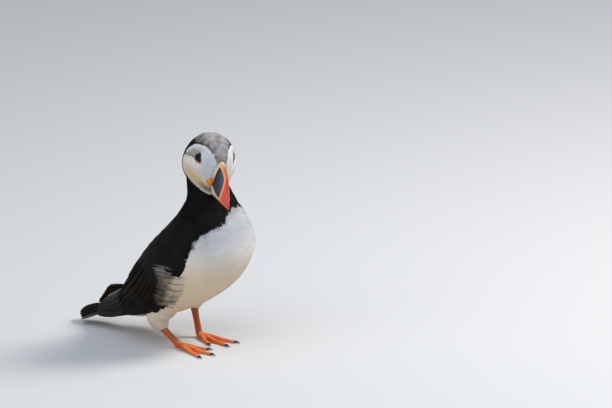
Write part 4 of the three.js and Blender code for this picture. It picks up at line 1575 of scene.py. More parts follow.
def scatter(surface: Surface, count: int, weight: Array, rng: np.random.Generator) -> tuple[Array, Array]:
    """Well-spaced places on a surface, as many to each area as weight asks.

    A steady sequence of two irrational steps fills a unit square evenly. Its first number picks t
    by the area that lies before it, and its second picks a by the area along that t.

    Args:
        surface: The surface.
        count: How many places.
        weight: Density on a grid of cells, t by a.
        rng: Source of the small stray from the sequence.

    Returns:
        t and a of the places.
    """
    rows, columns = weight.shape
    edges_t, edges_a = np.linspace(*surface.ends, rows + 1), np.linspace(*surface.rim, columns + 1)
    t, a = np.meshgrid((edges_t[1:] + edges_t[:-1]) / 2, (edges_a[1:] + edges_a[:-1]) / 2, indexing="ij")
    area = np.linalg.norm(np.cross(*surface.slopes(t, a)), axis=-1) * weight + 1e-12
    stray = 0.25 / math.sqrt(count)
    first, second = (0.5 + np.arange(count) * step for step in (0.7548776662, 0.5698402910))
    first, second = ((x % 1 + rng.normal(0, stray, count)) % 1 for x in (first, second))
    before = np.append(0, np.cumsum(area.sum(1))) / area.sum()
    place_t = np.interp(first, before, np.arange(rows + 1))
    row = np.minimum(place_t.astype(int), rows - 1)
    shares = np.cumsum(area, 1) / area.sum(1, keepdims=True)
    flat = (shares + np.arange(rows)[:, None]).ravel()
    cell = np.clip(np.searchsorted(flat, row + second), 0, flat.size - 1)
    column = cell % columns
    low = np.where(column > 0, flat[cell - 1], np.floor(flat[cell] - 1e-9)) - row
    part = held((second - low) / np.maximum(flat[cell] - row - low, 1e-9))
    t = np.interp(place_t, np.arange(rows + 1), edges_t)
    return t, np.interp(column + part, np.arange(columns + 1), edges_a)


@dataclass
class Tufts:
    """What each feather carries: its markings, its tuft's number and its root's place on the unwrap."""

    marks: Array
    seed: Array
    root: Array

    def kept(self, keep: Array) -> "Tufts":
        """Those of the feathers that are kept."""
        return Tufts(self.marks[keep], self.seed[keep], self.root[keep])


def steps_along(along: Array, across: Array, way: Array) -> tuple[Array, Array]:
    """How much t and a change for a millimetre each way, from the slopes' squares and product.

    Args:
        along: Slope along t at each root.
        across: Slope along a there.
        way: Unit vectors, roots by blades by 3.

    Returns:
        The change of t and that of a.
    """
    e, g = (along**2).sum(-1)[:, None], (across**2).sum(-1)[:, None]
    mixed = (along * across).sum(-1)[:, None]
    on_t, on_a = (way * along[:, None]).sum(-1), (way * across[:, None]).sum(-1)
    spread = np.maximum(e * g - mixed**2, 1e-9)
    return (g * on_t - mixed * on_a) / spread, (e * on_a - mixed * on_t) / spread


@dataclass
class Coat:
    """Lays feathers on the ground and makes each piece of the coat."""

    ground: Ground
    finish: Material
    patch: float = 0.003  # of the unwrap, for one tuft
    buried: float = 1.1  # a root that lies deeper inside the form than this is left out
    cells: int = 180
    widest: float = 0.7  # radians that one feather may turn round the surface
    swirl: float = 22.0  # size of the patches whose tufts turn together
    clump: float = 9.0  # size of the patches whose tips rise together
    jitter: float = 0.05  # radians between the barbs of a tuft
    length_spread: float = 0.16
    shown: float = 0.7  # how far along a feather its markings are read
    own_rise: float = 0.6  # how much each tuft's own rise counts beside its patch's
    triangles: int = 0

    def lay(
        self, surface: Surface, tract: Tract, marks: Marks, weight: Weight, clear: Clear | None = None
    ) -> Shell:
        """One tract as a shell.

        Args:
            surface: What the tract lies on.
            tract: The tract.
            marks: Gives the markings of the tufts.
            weight: Gives their density.
            clear: Gives True for the settled paths to keep, or None for all.

        Returns:
            The tract's feathers.
        """
        rng = np.random.default_rng(tract.seed)
        size, blades, stations = tract.count, tract.blades, tract.plume.stations
        middles = [
            low + (high - low) * (np.arange(self.cells) + 0.5) / self.cells
            for low, high in (surface.ends, surface.rim)
        ]
        density = weight(*np.meshgrid(*middles, indexing="ij")).astype(float)
        root_t, root_a = scatter(surface, size, density, rng)
        square = surface.unwrap(root_t, root_a)
        along, across = surface.slopes(root_t, root_a)
        flow = unit(along) * surface.flow
        side = np.cross(unit(np.cross(along, across)) * surface.outward, flow)
        stray = math.radians(tract.stray)
        heading = stray * ripple(surface.point(root_t, root_a), self.swirl, tract.seed + 1)
        heading = heading + rng.normal(0, stray / 2, size) - math.radians(tract.lean) * np.sin(root_a)
        fan = np.radians(tract.splay) * (np.arange(blades) - (blades - 1) / 2)
        angle = (heading[:, None] + fan + rng.normal(0, self.jitter, (size, blades)))[..., None]
        way = flow[:, None] * np.cos(angle) + side[:, None] * np.sin(angle)
        length = np.interp(square[:, 1], np.linspace(0, 1, len(tract.lengths)), tract.lengths)
        length = length * (1 + self.length_spread * rng.normal(size=size).clip(-2, 2))
        reach = np.repeat(length[:, None], blades, 1)
        step_t, step_a = ((step * reach)[..., None] for step in steps_along(along, across, way))
        t = root_t[:, None, None] + step_t * stations
        a = root_a[:, None, None] + np.clip(step_a * stations, -self.widest, self.widest)
        paths = surface.point(t, a)
        shown = int(self.shown * len(stations))
        marked = marks(t[:, 0, shown], a[:, 0, shown], paths[:, 0, shown])
        tufts = Tufts(marked, rng.uniform(size=size), square).kept(np.repeat(np.arange(size), blades))
        return self.settled(paths.reshape(-1, len(stations), 3), tract, reach.ravel(), tufts, clear)

    def settled(
        self, paths: Array, tract: Tract, length: Array, tufts: Tufts, clear: Clear | None = None
    ) -> Shell:
        """Feathers along paths that are brought down to the ground first.

        Args:
            paths: Feathers by stations by 3.
            tract: Says how they lie.
            length: Length of each feather, which sets its width.
            tufts: What they carry.
            clear: Gives True for the settled paths to keep, or None for all.

        Returns:
            The feathers.
        """
        low, out = self.ground.settle(paths)
        keep = ((low[:, 0] - paths[:, 0]) * out[:, 0]).sum(-1) < self.buried
        if clear is not None:
            keep &= clear(low)
        low, out, tufts = low[keep], out[keep], tufts.kept(keep)
        lumps = ripple(low[:, -1], self.clump, tract.seed + 2) + self.own_rise * (tufts.seed - 0.5)
        top = tract.rise + tract.ruffle * lumps
        height = -tract.depth + (top + tract.depth)[:, None] * tract.plume.stations**tract.curve
        centre = low + out * height[..., None]
        return self.grown(tract.plume, centre, out, tract.half * length[keep], tract.thick, tufts)

    def grown(
        self,
        plume: Plume,
        centre: Array,
        out: Array,
        half: Array,
        thick: float,
        tufts: Tufts,
        tilt: float = 0.0,
    ) -> Shell:
        """Feathers on centre lines that are already in place.

        Args:
            plume: The feathers' kind.
            centre: Feathers by stations by 3.
            out: Unit vectors out of the body at each station.
            half: Greatest half width of each.
            thick: Their thickness.
            tufts: What they carry.
            tilt: Degrees that each feather is turned about its shaft.

        Returns:
            The feathers.
        """
        ahead = unit(np.gradient(centre, axis=1))
        side = unit(np.cross(out, ahead))
        out = unit(blend(out, np.cross(ahead, side), 0.5))
        c, s = math.cos(math.radians(tilt)), math.sin(math.radians(tilt))
        shell = plume.grown(centre, side * c + out * s, out * c - side * s, half, thick)
        each = np.repeat(np.arange(len(centre)), len(plume.along) * len(plume.section) + 1)
        spot = shell.values.pop("spot")
        shell.values["marks"] = tufts.marks[each]
        shell.values["tuft"] = np.concatenate([spot, tufts.seed[each, None]], 1)
        patch = np.stack([spot[:, 1] / 2, spot[:, 0] - 0.5], -1) * self.patch
        shell.values["OFBake"] = self.patch + (1 - 2 * self.patch) * held(tufts.root[each]) + patch
        return shell

    def piece(self, name: str, slot: str, *shells: Shell) -> None:
        """One piece of the coat from its tracts.

        Args:
            name: Name of the piece.
            slot: Name of its material slot.
            shells: The tracts.
        """
        shell = Shell.joined(shells)
        unwrap = shell.values.pop("OFBake")
        made = shell.piece(name, self.finish, slot)
        layer = made.data.uv_layers.new(name="OFBake")
        layer.uv.foreach_set("vector", unwrap[shell.faces.ravel()].astype(np.float32).ravel())
        self.triangles += len(shell.faces)


# ---------------- the plumage


@dataclass(frozen=True)
class Row:
    """A row of long feathers side by side on a wing or on the tail."""

    seed: int
    count: int
    span: tuple[float, float]  # first and last feather, as places across the surface
    roots: tuple[float, ...]  # t of the roots, from the first feather to the last
    tips: tuple[float, ...]  # t of the tips
    overlap: float  # half width as a share of the space between two feathers
    thick: float
    tilt: float = 0.0  # degrees, the near edge over the next feather
    height: tuple[float, float] = (-0.6, 0.4)  # of root and tip over the surface
    stack: float = 0.0  # how much higher each feather lies than the one before


LONG_VANE = Plume(
    (0.0, 0.14, 0.32, 0.52, 0.72, 0.86, 0.95, 0.985),
    (0.30, 0.62, 0.85, 1.0, 0.98, 0.80, 0.50, 0.26),
    ((-1, 0), (0, -0.3), (1, 0), (0.3, 0.5), (0, 1.1), (-0.3, 0.5)),
)

FACE = Tract(11, 6800, (3.6, 3.3, 2.8, 2.3, 1.7), 0.125, 0.11, HAIR, 2, 16, 8, 0, 0.8, 0.05, 0.05, 0.5)
CROWN = Tract(12, 5600, (4.6, 4.0, 3.4, 2.8, 1.8), 0.10, 0.18, HAIR, 2, 14, 8, 0, 1.1, 0.08, 0.16)
NECK = Tract(13, 5200, (7.5, 7.0, 6.5, 5.5, 4.5), 0.085, 0.26, BARB, 2, 14, 8, 0, 1.5, 0.15, 0.28)
BREAST = Tract(14, 6200, (9.5, 9.0, 8.5, 8.0, 7.0), 0.125, 0.10, BARB, 2, 13, 5, 0, 0.9, 0.05, 0.04, 0.45)
BELLY = Tract(15, 6800, (8.0, 9.5, 11.0, 10.5, 9.5), 0.100, 0.13, BARB, 2, 13, 7, 6, 1.1, 0.07, 0.09, 0.5)
MANTLE = Tract(16, 1900, (8.0, 10.0, 11.0, 10.0, 7.5), 0.27, 0.30, VANE, 1, 0, 6, 0, 1.5, 0.25, 0.20)
MANTLE_EDGE = Tract(17, 2600, (8.5, 10.0, 11.0, 10.0, 7.5), 0.06, 0.22, BARB, 2, 16, 9, 0, 1.2, 0.35, 0.25)
LESSER = Tract(18, 2600, (6.0, 7.0, 8.5, 10.0, 11.0), 0.30, 0.22, VANE, 1, 0, 11, 0, 1.1, 0.36, 0.26)
THIGH = Tract(19, 1500, (8.0, 7.0, 5.5, 4.2), 0.08, 0.26, BARB, 3, 12, 9, 0, 1.2, 0.12, 0.30)
LOCK = Tract(21, 1, (1.0,), 0.020, 0.18, BARB, 1, 0, 0, 0, 1.0, 1.1, 0.45, curve=0.45)

SECONDARIES = Row(31, 13, (0.04, 0.94), (0.62, 0.66), (0.985, 1.0, 1.0, 0.985), 1.1, 0.30, 4, (-0.6, 0.40))
GREATER = Row(32, 16, (0.03, 0.95), (0.52, 0.58), (0.80, 0.84, 0.87, 0.88), 1.1, 0.30, 4, (-0.8, 0.60))
MEDIAN = Row(33, 18, (0.02, 0.96), (0.44, 0.48), (0.68, 0.71, 0.74, 0.76), 1.1, 0.28, 5, (-0.9, 0.75))
PRIMARIES = Row(
    34, 8, (0.06, 0.94), (0.14, 0.18), (1.0, 1.0, 0.995, 0.98, 0.965, 0.95, 0.93, 0.90), 1.0, 0.35, 5,
    (-1.2, 0.3), 0.05,
)
UNDER_PRIMARIES = Row(
    37, 8, (0.06, 0.94), (0.25, 0.25), (0.985, 0.99, 0.98, 0.94, 0.89), 1.0, 0.3, 4, (0.0, 0.1),
)
TAIL = Row(35, 14, (-0.9, 0.9), (-0.25, -0.25), (0.95, 0.98, 1.0, 0.98, 0.95), 1.9, 0.4, 3, (0, 0), 0.03)
TAIL_COVERTS = Row(36, 11, (-0.8, 0.8), (-0.5, -0.5), (0.42, 0.5, 0.55, 0.5, 0.42), 1.5, 0.5, 3, (0.5, 1.1))


LOCK_SEED = 50


@dataclass(frozen=True)
class Lock:
    """A loose lock of flank feathers that laps over the wing, given for the right side."""

    root: tuple
    tip: tuple
    wide: float
    count: int
    dark: float  # how dark its barbs are on the whole
    warm: float  # how brown the pale ones are


LOCKS = (
    Lock((17.5, -46.4, 85.5), (-3.0, -46.0, 84.0), 4.0, 60, 0.88, 0.10),
    Lock((20.0, -46.6, 80.5), (-7.5, -46.0, 79.6), 6.5, 150, 0.78, 0.12),
    Lock((21.0, -46.8, 74.0), (-4.0, -46.5, 76.0), 7.5, 190, 0.82, 0.35),
    Lock((21.0, -46.5, 67.5), (-1.0, -46.5, 71.5), 8.5, 220, 0.66, 0.50),
    Lock((17.0, -45.0, 60.0), (-3.0, -46.0, 65.0), 8.0, 200, 0.76, 0.60),
    Lock((13.5, -42.0, 53.5), (-3.5, -44.5, 58.5), 8.0, 190, 0.80, 0.60),
    Lock((10.0, -39.0, 47.5), (-8.5, -43.0, 53.5), 7.5, 170, 0.84, 0.60),
    Lock((5.5, -35.0, 41.5), (-9.4, -41.0, 47.2), 7.0, 140, 0.86, 0.60),
    Lock((30.0, -44.5, 70.0), (13.5, -47.0, 72.0), 7.5, 190, 0.20, 0.40),
    Lock((28.0, -43.0, 62.0), (8.5, -46.5, 65.5), 8.5, 210, 0.28, 0.50),
    Lock((24.0, -40.0, 55.0), (5.0, -45.0, 59.0), 8.5, 210, 0.36, 0.52),
    Lock((18.5, -37.0, 48.0), (0.5, -43.0, 52.5), 8.5, 200, 0.42, 0.52),
    Lock((12.0, -33.0, 41.5), (-5.0, -40.5, 46.0), 8.0, 180, 0.46, 0.52),
)


@dataclass
class Plumage:
    """All the feathers of the bird."""

    body: BodyForm
    head: HeadForm
    tail: TailForm
    legs: tuple[LegForm, ...]
    marks: Markings
    coat: Coat
    rosette_clear: float = 3.2
    # Where the tracts of the trunk end, in stations and in degrees from the breast's midline.
    neck_from: tuple[float, float] = (5.2, 7.0)  # in front and behind
    neck_front: float = 95.0
    breast_from: float = 4.7
    belly_to: float = 4.8
    belly_half: float = 101.0
    mantle_half: tuple[float, float] = (98.0, 84.0)  # at the belly and at the breast
    mantle_ends: tuple[float, float] = (0.2, 7.4)
    thigh_from: float = 0.15
    arm_to: float = 0.70  # how far down the arm the small feathers of the wing reach
    stray: float = 0.006  # of the long feathers from their even spacing
    shown_ring: int = 5  # of a long feather, where its markings are read
    unwrap_ring: int = 3
    # How a lock's barbs lie, as shares of its length and half width.
    starts: tuple[float, float] = (-0.10, 0.50)
    shortest: float = 0.45  # how much sooner an outer barb may end
    drift: float = 0.30
    narrowing: float = 0.35
    # How they are marked.
    pale_barbs: tuple[float, float] = (0.14, 0.16)  # share of the barbs, and how much paler
    darkening: float = 0.7  # how much darker those are that start further along
    shade_spread: float = 0.07
    evenness: float = 2.2  # the power of the light that looks like even steps from white to dark

    def head_marks(self, t: Array, a: Array, place: Array | None = None) -> Array:
        """Markings of the head from t and a."""
        return self.marks.on_head(self.head.own(t, a))

    def head_dark(self, t: Array, a: Array) -> Array:
        """How dark the head is at t and a."""
        return self.head_marks(t, a)[..., 0]

    def body_dark(self, t: Array, a: Array) -> Array:
        """How dark the trunk is at t and a."""
        return self.marks.on_body(t, a, self.body.point(t, a))[..., 0]

    def thigh_marks(self, t: Array, a: Array, place: Array) -> Array:
        """Markings of a thigh: white, with painted warm bounce light as on the lower belly."""
        # Painted warm bounce light.
        warm = held(0.48 + 0.10 * ripple(place, 12, 41))
        zero = np.zeros_like(warm)
        return np.stack([zero, zero + 0.04, warm, zero + 0.3], -1)

    def wing_marks(self, t: Array, a: Array, place: Array) -> Array:
        """Markings of a wing or of the tail."""
        return self.marks.on_wing(place)

    def primary_marks(self, t: Array, a: Array, place: Array) -> Array:
        """Markings of the primaries, which are worn to a grey-brown, with a painted highlight along their
        upper edge.
        """
        marks = self.marks.on_wing(place)
        # Grey of the wear, and a painted highlight along the upper edge.
        marks[..., 1] = 0.05 + 0.22 * smooth_step(a, 0.75, 0.95)
        marks[..., 3] = 0.85
        return marks

    def tail_marks(self, t: Array, a: Array, place: Array) -> Array:
        """Markings of the tail, black with a slightly paler lower edge."""
        marks = self.marks.on_wing(place)
        marks[..., 1] = 0.16 * smooth_step(a, -0.75, -0.9)
        marks[..., 3] = 0.2
        return marks

    def off_features(self, low: Array) -> Array:
        """True for head feathers that keep clear of eyes, rosettes and bill.

        Args:
            low: Settled paths, feathers by stations by 3.

        Returns:
            True for each feather that is kept.
        """
        own = self.head.to_head(low)
        keep = own[..., 0].max(1) < 0.2
        for side in Side:
            keep &= ~EyeForm(self.head, side).covers(own).any(1)
            keep &= np.linalg.norm(own - ROSETTE * side.flip, axis=-1).min(1) > self.rosette_clear
        return keep

    def build_head(self) -> None:
        """The short velvet of the face, and the longer feathers of crown, nape and chin."""
        for name, slot, tract, weight in (
            ("coat_face", "face_plumage", FACE, lambda t, a: 1 - self.head_dark(t, a)),
            ("coat_crown", "dark_plumage", CROWN, self.head_dark),
        ):
            laid = self.coat.lay(self.head, tract, self.head_marks, weight, self.off_features)
            self.coat.piece(name, slot, laid)

    def trunk_weights(self) -> dict[str, Weight]:
        """The density of each tract of the trunk."""
        def off(a: Array) -> Array:
            """Degrees from the breast's midline."""
            return np.abs(np.degrees(a) - 180)

        def neck_start(a: Array) -> Array:
            """The station where the neck's feathers begin."""
            return np.where(off(a) < self.neck_front, *self.neck_from)

        def mantle_edge(t: Array) -> Array:
            """Where the back's feathers begin, in degrees."""
            return np.where(t < self.belly_to, *self.mantle_half)

        first, last = self.mantle_ends
        return {
            "neck": lambda t, a: self.body_dark(t, a) * (t > neck_start(a)),
            "breast": lambda t, a: (1 - self.body_dark(t, a)) * (t > self.breast_from),
            "belly": lambda t, a: (t <= self.belly_to) * (off(a) < self.belly_half),
            "back": lambda t, a: (off(a) > mantle_edge(t)) * (t < last) * (t > first),
        }

    def build_trunk(self) -> None:
        """Neck, breast, belly and back."""
        tracts = {"neck": (NECK,), "breast": (BREAST,), "belly": (BELLY,), "back": (MANTLE, MANTLE_EDGE)}
        for word, weight in self.trunk_weights().items():
            laid = [self.coat.lay(self.body, tract, self.marks.on_body, weight) for tract in tracts[word]]
            slot = "white_plumage" if word in ("breast", "belly") else "dark_plumage"
            self.coat.piece(f"coat_{word}", slot, *laid)

    def build_thighs(self) -> None:
        """The white feathers of both thighs."""
        laid = [
            self.coat.lay(form.thigh(), THIGH, self.thigh_marks, lambda t, a: t > self.thigh_from)
            for form in self.legs
        ]
        self.coat.piece("coat_thighs", "white_plumage", *laid)

    def row(self, surface: Sheet, row: Row, marks: Marks) -> Shell:
        """A row of long feathers at their heights over a surface.

        Args:
            surface: What the row lies on.
            row: The row.
            marks: Gives the markings of the feathers.

        Returns:
            The feathers, which have no need of soft normals.
        """
        rng = np.random.default_rng(row.seed)
        stations, count = LONG_VANE.stations, row.count
        a = np.linspace(*row.span, count) + rng.normal(0, self.stray, count)
        share = np.linspace(0, 1, count)
        roots, tips = (np.interp(share, np.linspace(0, 1, len(v)), v) for v in (row.roots, row.tips))
        tips = tips + rng.normal(0, self.stray, count)
        middle = (roots + tips) / 2
        space = (row.span[1] - row.span[0]) / (count - 1)
        apart = surface.point(middle, a + space) - surface.point(middle, a)
        half = np.linalg.norm(apart, axis=-1) * row.overlap
        t = roots[:, None] + (tips - roots)[:, None] * stations
        a = np.repeat(a[:, None], len(stations), 1)
        out = unit(np.cross(*surface.slopes(t, a)))
        out *= np.sign(out @ surface.facing)[..., None]
        height = blend(*row.height, stations**0.6) + np.arange(count)[:, None] * row.stack
        centre = surface.point(t, a) + out * height[..., None]
        marked = marks(*(v[:, self.shown_ring] for v in (t, a, centre)))
        tufts = Tufts(marked, rng.uniform(size=count), surface.unwrap(t[:, self.unwrap_ring], a[:, 0]))
        tilt = -row.tilt * surface.outward
        shell = self.coat.grown(LONG_VANE, centre, out, half, row.thick, tufts, tilt)
        del shell.values["custom_normal"]
        return shell

    def build_wings(self) -> None:
        """Both wings: small coverts, three rows of long feathers, and the primaries beyond them."""
        for side in Side:
            arm, hand, inner = (
                WingForm(self.body, slab, side, inside)
                for slab, inside in ((ARM, False), (HAND, False), (HAND, True))
            )
            small = self.coat.lay(arm, LESSER, self.wing_marks, lambda t, a: t < self.arm_to)
            rows = [self.row(arm, row, self.wing_marks) for row in (MEDIAN, GREATER, SECONDARIES)]
            rows.append(self.row(hand, PRIMARIES, self.primary_marks))
            rows.append(self.row(inner, UNDER_PRIMARIES, self.wing_marks))
            self.coat.piece(f"coat_wing_{side.word}", "dark_plumage", small)
            self.coat.piece(f"flight_feathers_{side.word}", "dark_plumage", *rows)

    def build_tail(self) -> None:
        """The stiff tail feathers with the coverts over their roots."""
        long = self.row(self.tail, TAIL, self.tail_marks)
        coverts = self.row(self.tail, TAIL_COVERTS, self.wing_marks)
        self.coat.piece("tail_feathers", "dark_plumage", long, coverts)

    def build_locks(self) -> None:
        """Loose flank feathers that lap over the front of each wing."""
        for side in Side:
            shells = [self.lock(lock, side, number) for number, lock in enumerate(LOCKS)]
            self.coat.piece(f"flank_locks_{side.word}", "white_plumage", *shells)

    def lock(self, lock: Lock, side: Side, number: int) -> Shell:
        """One lock: barbs that start side by side and draw together to a soft point.

        Args:
            lock: The lock, as it is on the right side.
            side: The side it is for.
            number: Its place in the list.

        Returns:
            The barbs.
        """
        rng = np.random.default_rng(LOCK_SEED + 10 * number + side.value)
        flip = side.flip * (1, -1, 1)
        root, tip = np.array(lock.root) * flip, np.array(lock.tip) * flip
        way = tip - root
        across = unit(np.cross(way, [0.0, float(side.value), 0.0])) * lock.wide / 2
        place = rng.uniform(-1, 1, lock.count)
        early = rng.uniform(*self.starts, lock.count)
        late = 1.0 - self.shortest * rng.uniform(0, 1, lock.count) * (0.4 + np.abs(place))
        share = early[:, None] + (late - early)[:, None] * BARB.stations
        drift = rng.normal(0, self.drift, lock.count)[:, None] * (share - early[:, None])
        narrow = (1 - self.narrowing * held(share) ** 1.5) * place[:, None] + drift
        paths = root + way * share[..., None] + across * narrow[..., None]
        shade = rng.uniform(0, 1, lock.count)
        pale = self.pale_barbs[1] * (rng.uniform(0, 1, lock.count) < self.pale_barbs[0])
        shadow = lock.dark + self.darkening * (early - early.mean())
        dark = 1 - np.clip(1 - rng.normal(shadow, self.shade_spread) + pale, 0.1, 1) ** self.evenness
        warm = held(lock.warm * (0.6 + 0.8 * shade))
        marks = np.stack([dark, 0.10 * shade, warm, 0.6 + 0.4 * shade], -1)
        level = np.full(lock.count, (number + 1) / (len(LOCKS) + 1))
        spot = np.stack([0.25 + 0.5 * (place + 1) / 2, level], -1)
        length = np.linalg.norm(way) * (late - early)
        return self.coat.settled(paths, LOCK, length, Tufts(marks, shade, spot))


# ---------------- bill, eyes and bare parts

BILL_BACK = -3.5  # f of the bill's root, inside the feathers
BILL_TIP = 37.3
GROOVES = (4.6, 9.0, 13.0)  # distances past the divider
EYE = (-18.7, 17.6, 11.5)  # f, l and u of the middle of the left one's opening
ROSETTE = np.array([-1.6, 7.2, -3.7])
# A painted highlight and painted shade on the eye ring.
RING_HIGHLIGHT = Spot((3.6, -3.4), (3.2, 2.2))  # forwards and upwards from the eye's middle
RING_SHADOW = Spot((2.4, 2.2), (2.6, 4.6), 30)


@dataclass
class BillForm:
    """The deep narrow bill: a horn-covered upper and lower part in the head's frame."""

    head: HeadForm
    # Rows: share of the length, top, mouth, bottom, and half width as a share of the greatest.
    stations: tuple = (
        (0.0, 17.2, -4.2, -17.2, 1.0),
        (0.2, 17.6, -6.4, -16.4, 0.96),
        (0.4, 15.8, -7.9, -14.8, 0.84),
        (0.6, 11.8, -8.1, -13.2, 0.66),
        (0.8, 4.8, -8.2, -11.6, 0.44),
        (0.93, -2.4, -8.7, -10.6, 0.26),
        (1.0, -8.0, -9.6, -10.4, 0.12),
    )
    rounding: int = 8  # rings on either side that a station's corner is rounded over
    half: float = 4.9
    squareness: float = 1.6
    hook: float = 1.2  # how far the upper tip passes the lower
    least: float = 0.35
    divider: float = 20.0  # f of the ridge in front of the plate, at the height of the mouth
    divider_lean: float = 0.022
    corner: float = 1.2  # the smaller, the rounder the plate's corners
    culmen_strip: float = 3.4  # how far the plate stays below the culmen
    jaw_strip: float = 1.3  # how far the plate reaches below the mouth
    base_ridge: tuple = (0.50, 0.8)  # height, and f of its front edge
    divider_ridge: tuple = (0.45, 1.0)  # height and half width
    groove: tuple = (0.32, 0.75)  # depth and half width

    def part(self, upper: bool, rings: int = 190, around: int = 56) -> Shell:
        """The upper or the lower part, a closed shell that carries f, u and the distance past the plate.

        The plate's bounding ridge crosses the bill, leaning back as it rises, and then runs along
        the culmen or the lower jaw to the base. A soft maximum rounds the corner between the two.

        Args:
            upper: Which of the two.
            rings: Rings along it.
            around: Corners round the curved face of a ring.

        Returns:
            The part.
        """
        sign = 1.0 if upper else -1.0
        table = np.array(self.stations)
        share = np.linspace(0, 1, rings)
        window = np.hanning(2 * self.rounding + 1)
        rows = [np.interp(share, table[:, 0], column) for column in table.T[1:]]
        rows = [np.pad(row, self.rounding, mode="reflect", reflect_type="odd") for row in rows]
        rows = [np.convolve(row, window / window.sum(), "valid")[:, None] for row in rows]
        top, mouth, bottom, width = rows

        def past(u: Array) -> Array:
            """Distance past the ridge at f and height u, negative on the plate."""
            rim = u - (top - self.culmen_strip) if upper else mouth - self.jaw_strip - u
            across = f - (self.divider - self.divider_lean * np.maximum(u + 1, 0) ** 2)
            return np.log(np.exp(self.corner * across) + np.exp(self.corner * rim)) / self.corner

        reach = BILL_TIP - (0 if upper else self.hook)
        f = np.repeat((BILL_BACK + (reach - BILL_BACK) * share)[:, None], around, 1)
        edge = mouth + sign * GAP / 2
        height = np.maximum(self.least, top - edge if upper else edge - bottom)
        angle = np.linspace(0, math.pi, around)
        l = self.half * width * rounded(np.cos(angle), self.squareness)
        u = edge + sign * height * rounded(np.sin(angle), self.squareness)
        way = unit(np.stack([l / (self.half * width) ** 2, (u - edge) / height**2], -1))
        rise = self.relief(f, u, past(u))
        l, u = l + way[..., 0] * rise, u + way[..., 1] * rise
        shell = loft(self.head.to_bird(np.stack([f, l, u], -1)))
        horn = np.stack([f, u, past(u)], -1)
        shell.values["horn"] = np.concatenate([horn.reshape(-1, 3), horn[:1].mean(1), horn[-1:].mean(1)])
        shell.values["jaw"] = np.full(shell.points.shape, 0.0 if upper else 1.0)
        return shell

    def relief(self, f: Array, u: Array, past: Array) -> Array:
        """Height of the ridges less the depth of the grooves."""
        base = self.base_ridge[0] * smooth_step(f, self.base_ridge[1] + 0.5, self.base_ridge[1] - 0.3)
        ridge = self.divider_ridge[0] * np.exp(-((past / self.divider_ridge[1]) ** 2))
        lines = sum(np.exp(-(((past - at) / self.groove[1]) ** 2)) for at in GROOVES)
        return base + ridge - self.groove[0] * lines * smooth_step(u, -15, -7)

    def build(self, finish: Material) -> None:
        """Both parts as pieces."""
        for word, upper in (("upper", True), ("lower", False)):
            self.part(upper).piece(f"bill_{word}_horn", finish, "bill_horn", f"bill_{word}")


@dataclass(frozen=True)
class Plate:
    """A horny plate beside the eye."""

    spot: tuple[float, float]  # its middle, forwards and upwards
    halves: tuple[float, float, float]  # half length, half width and thickness
    taper: float  # 0 for a bar, and 1 for a triangle with its point upwards
    tone: float  # how dark it is


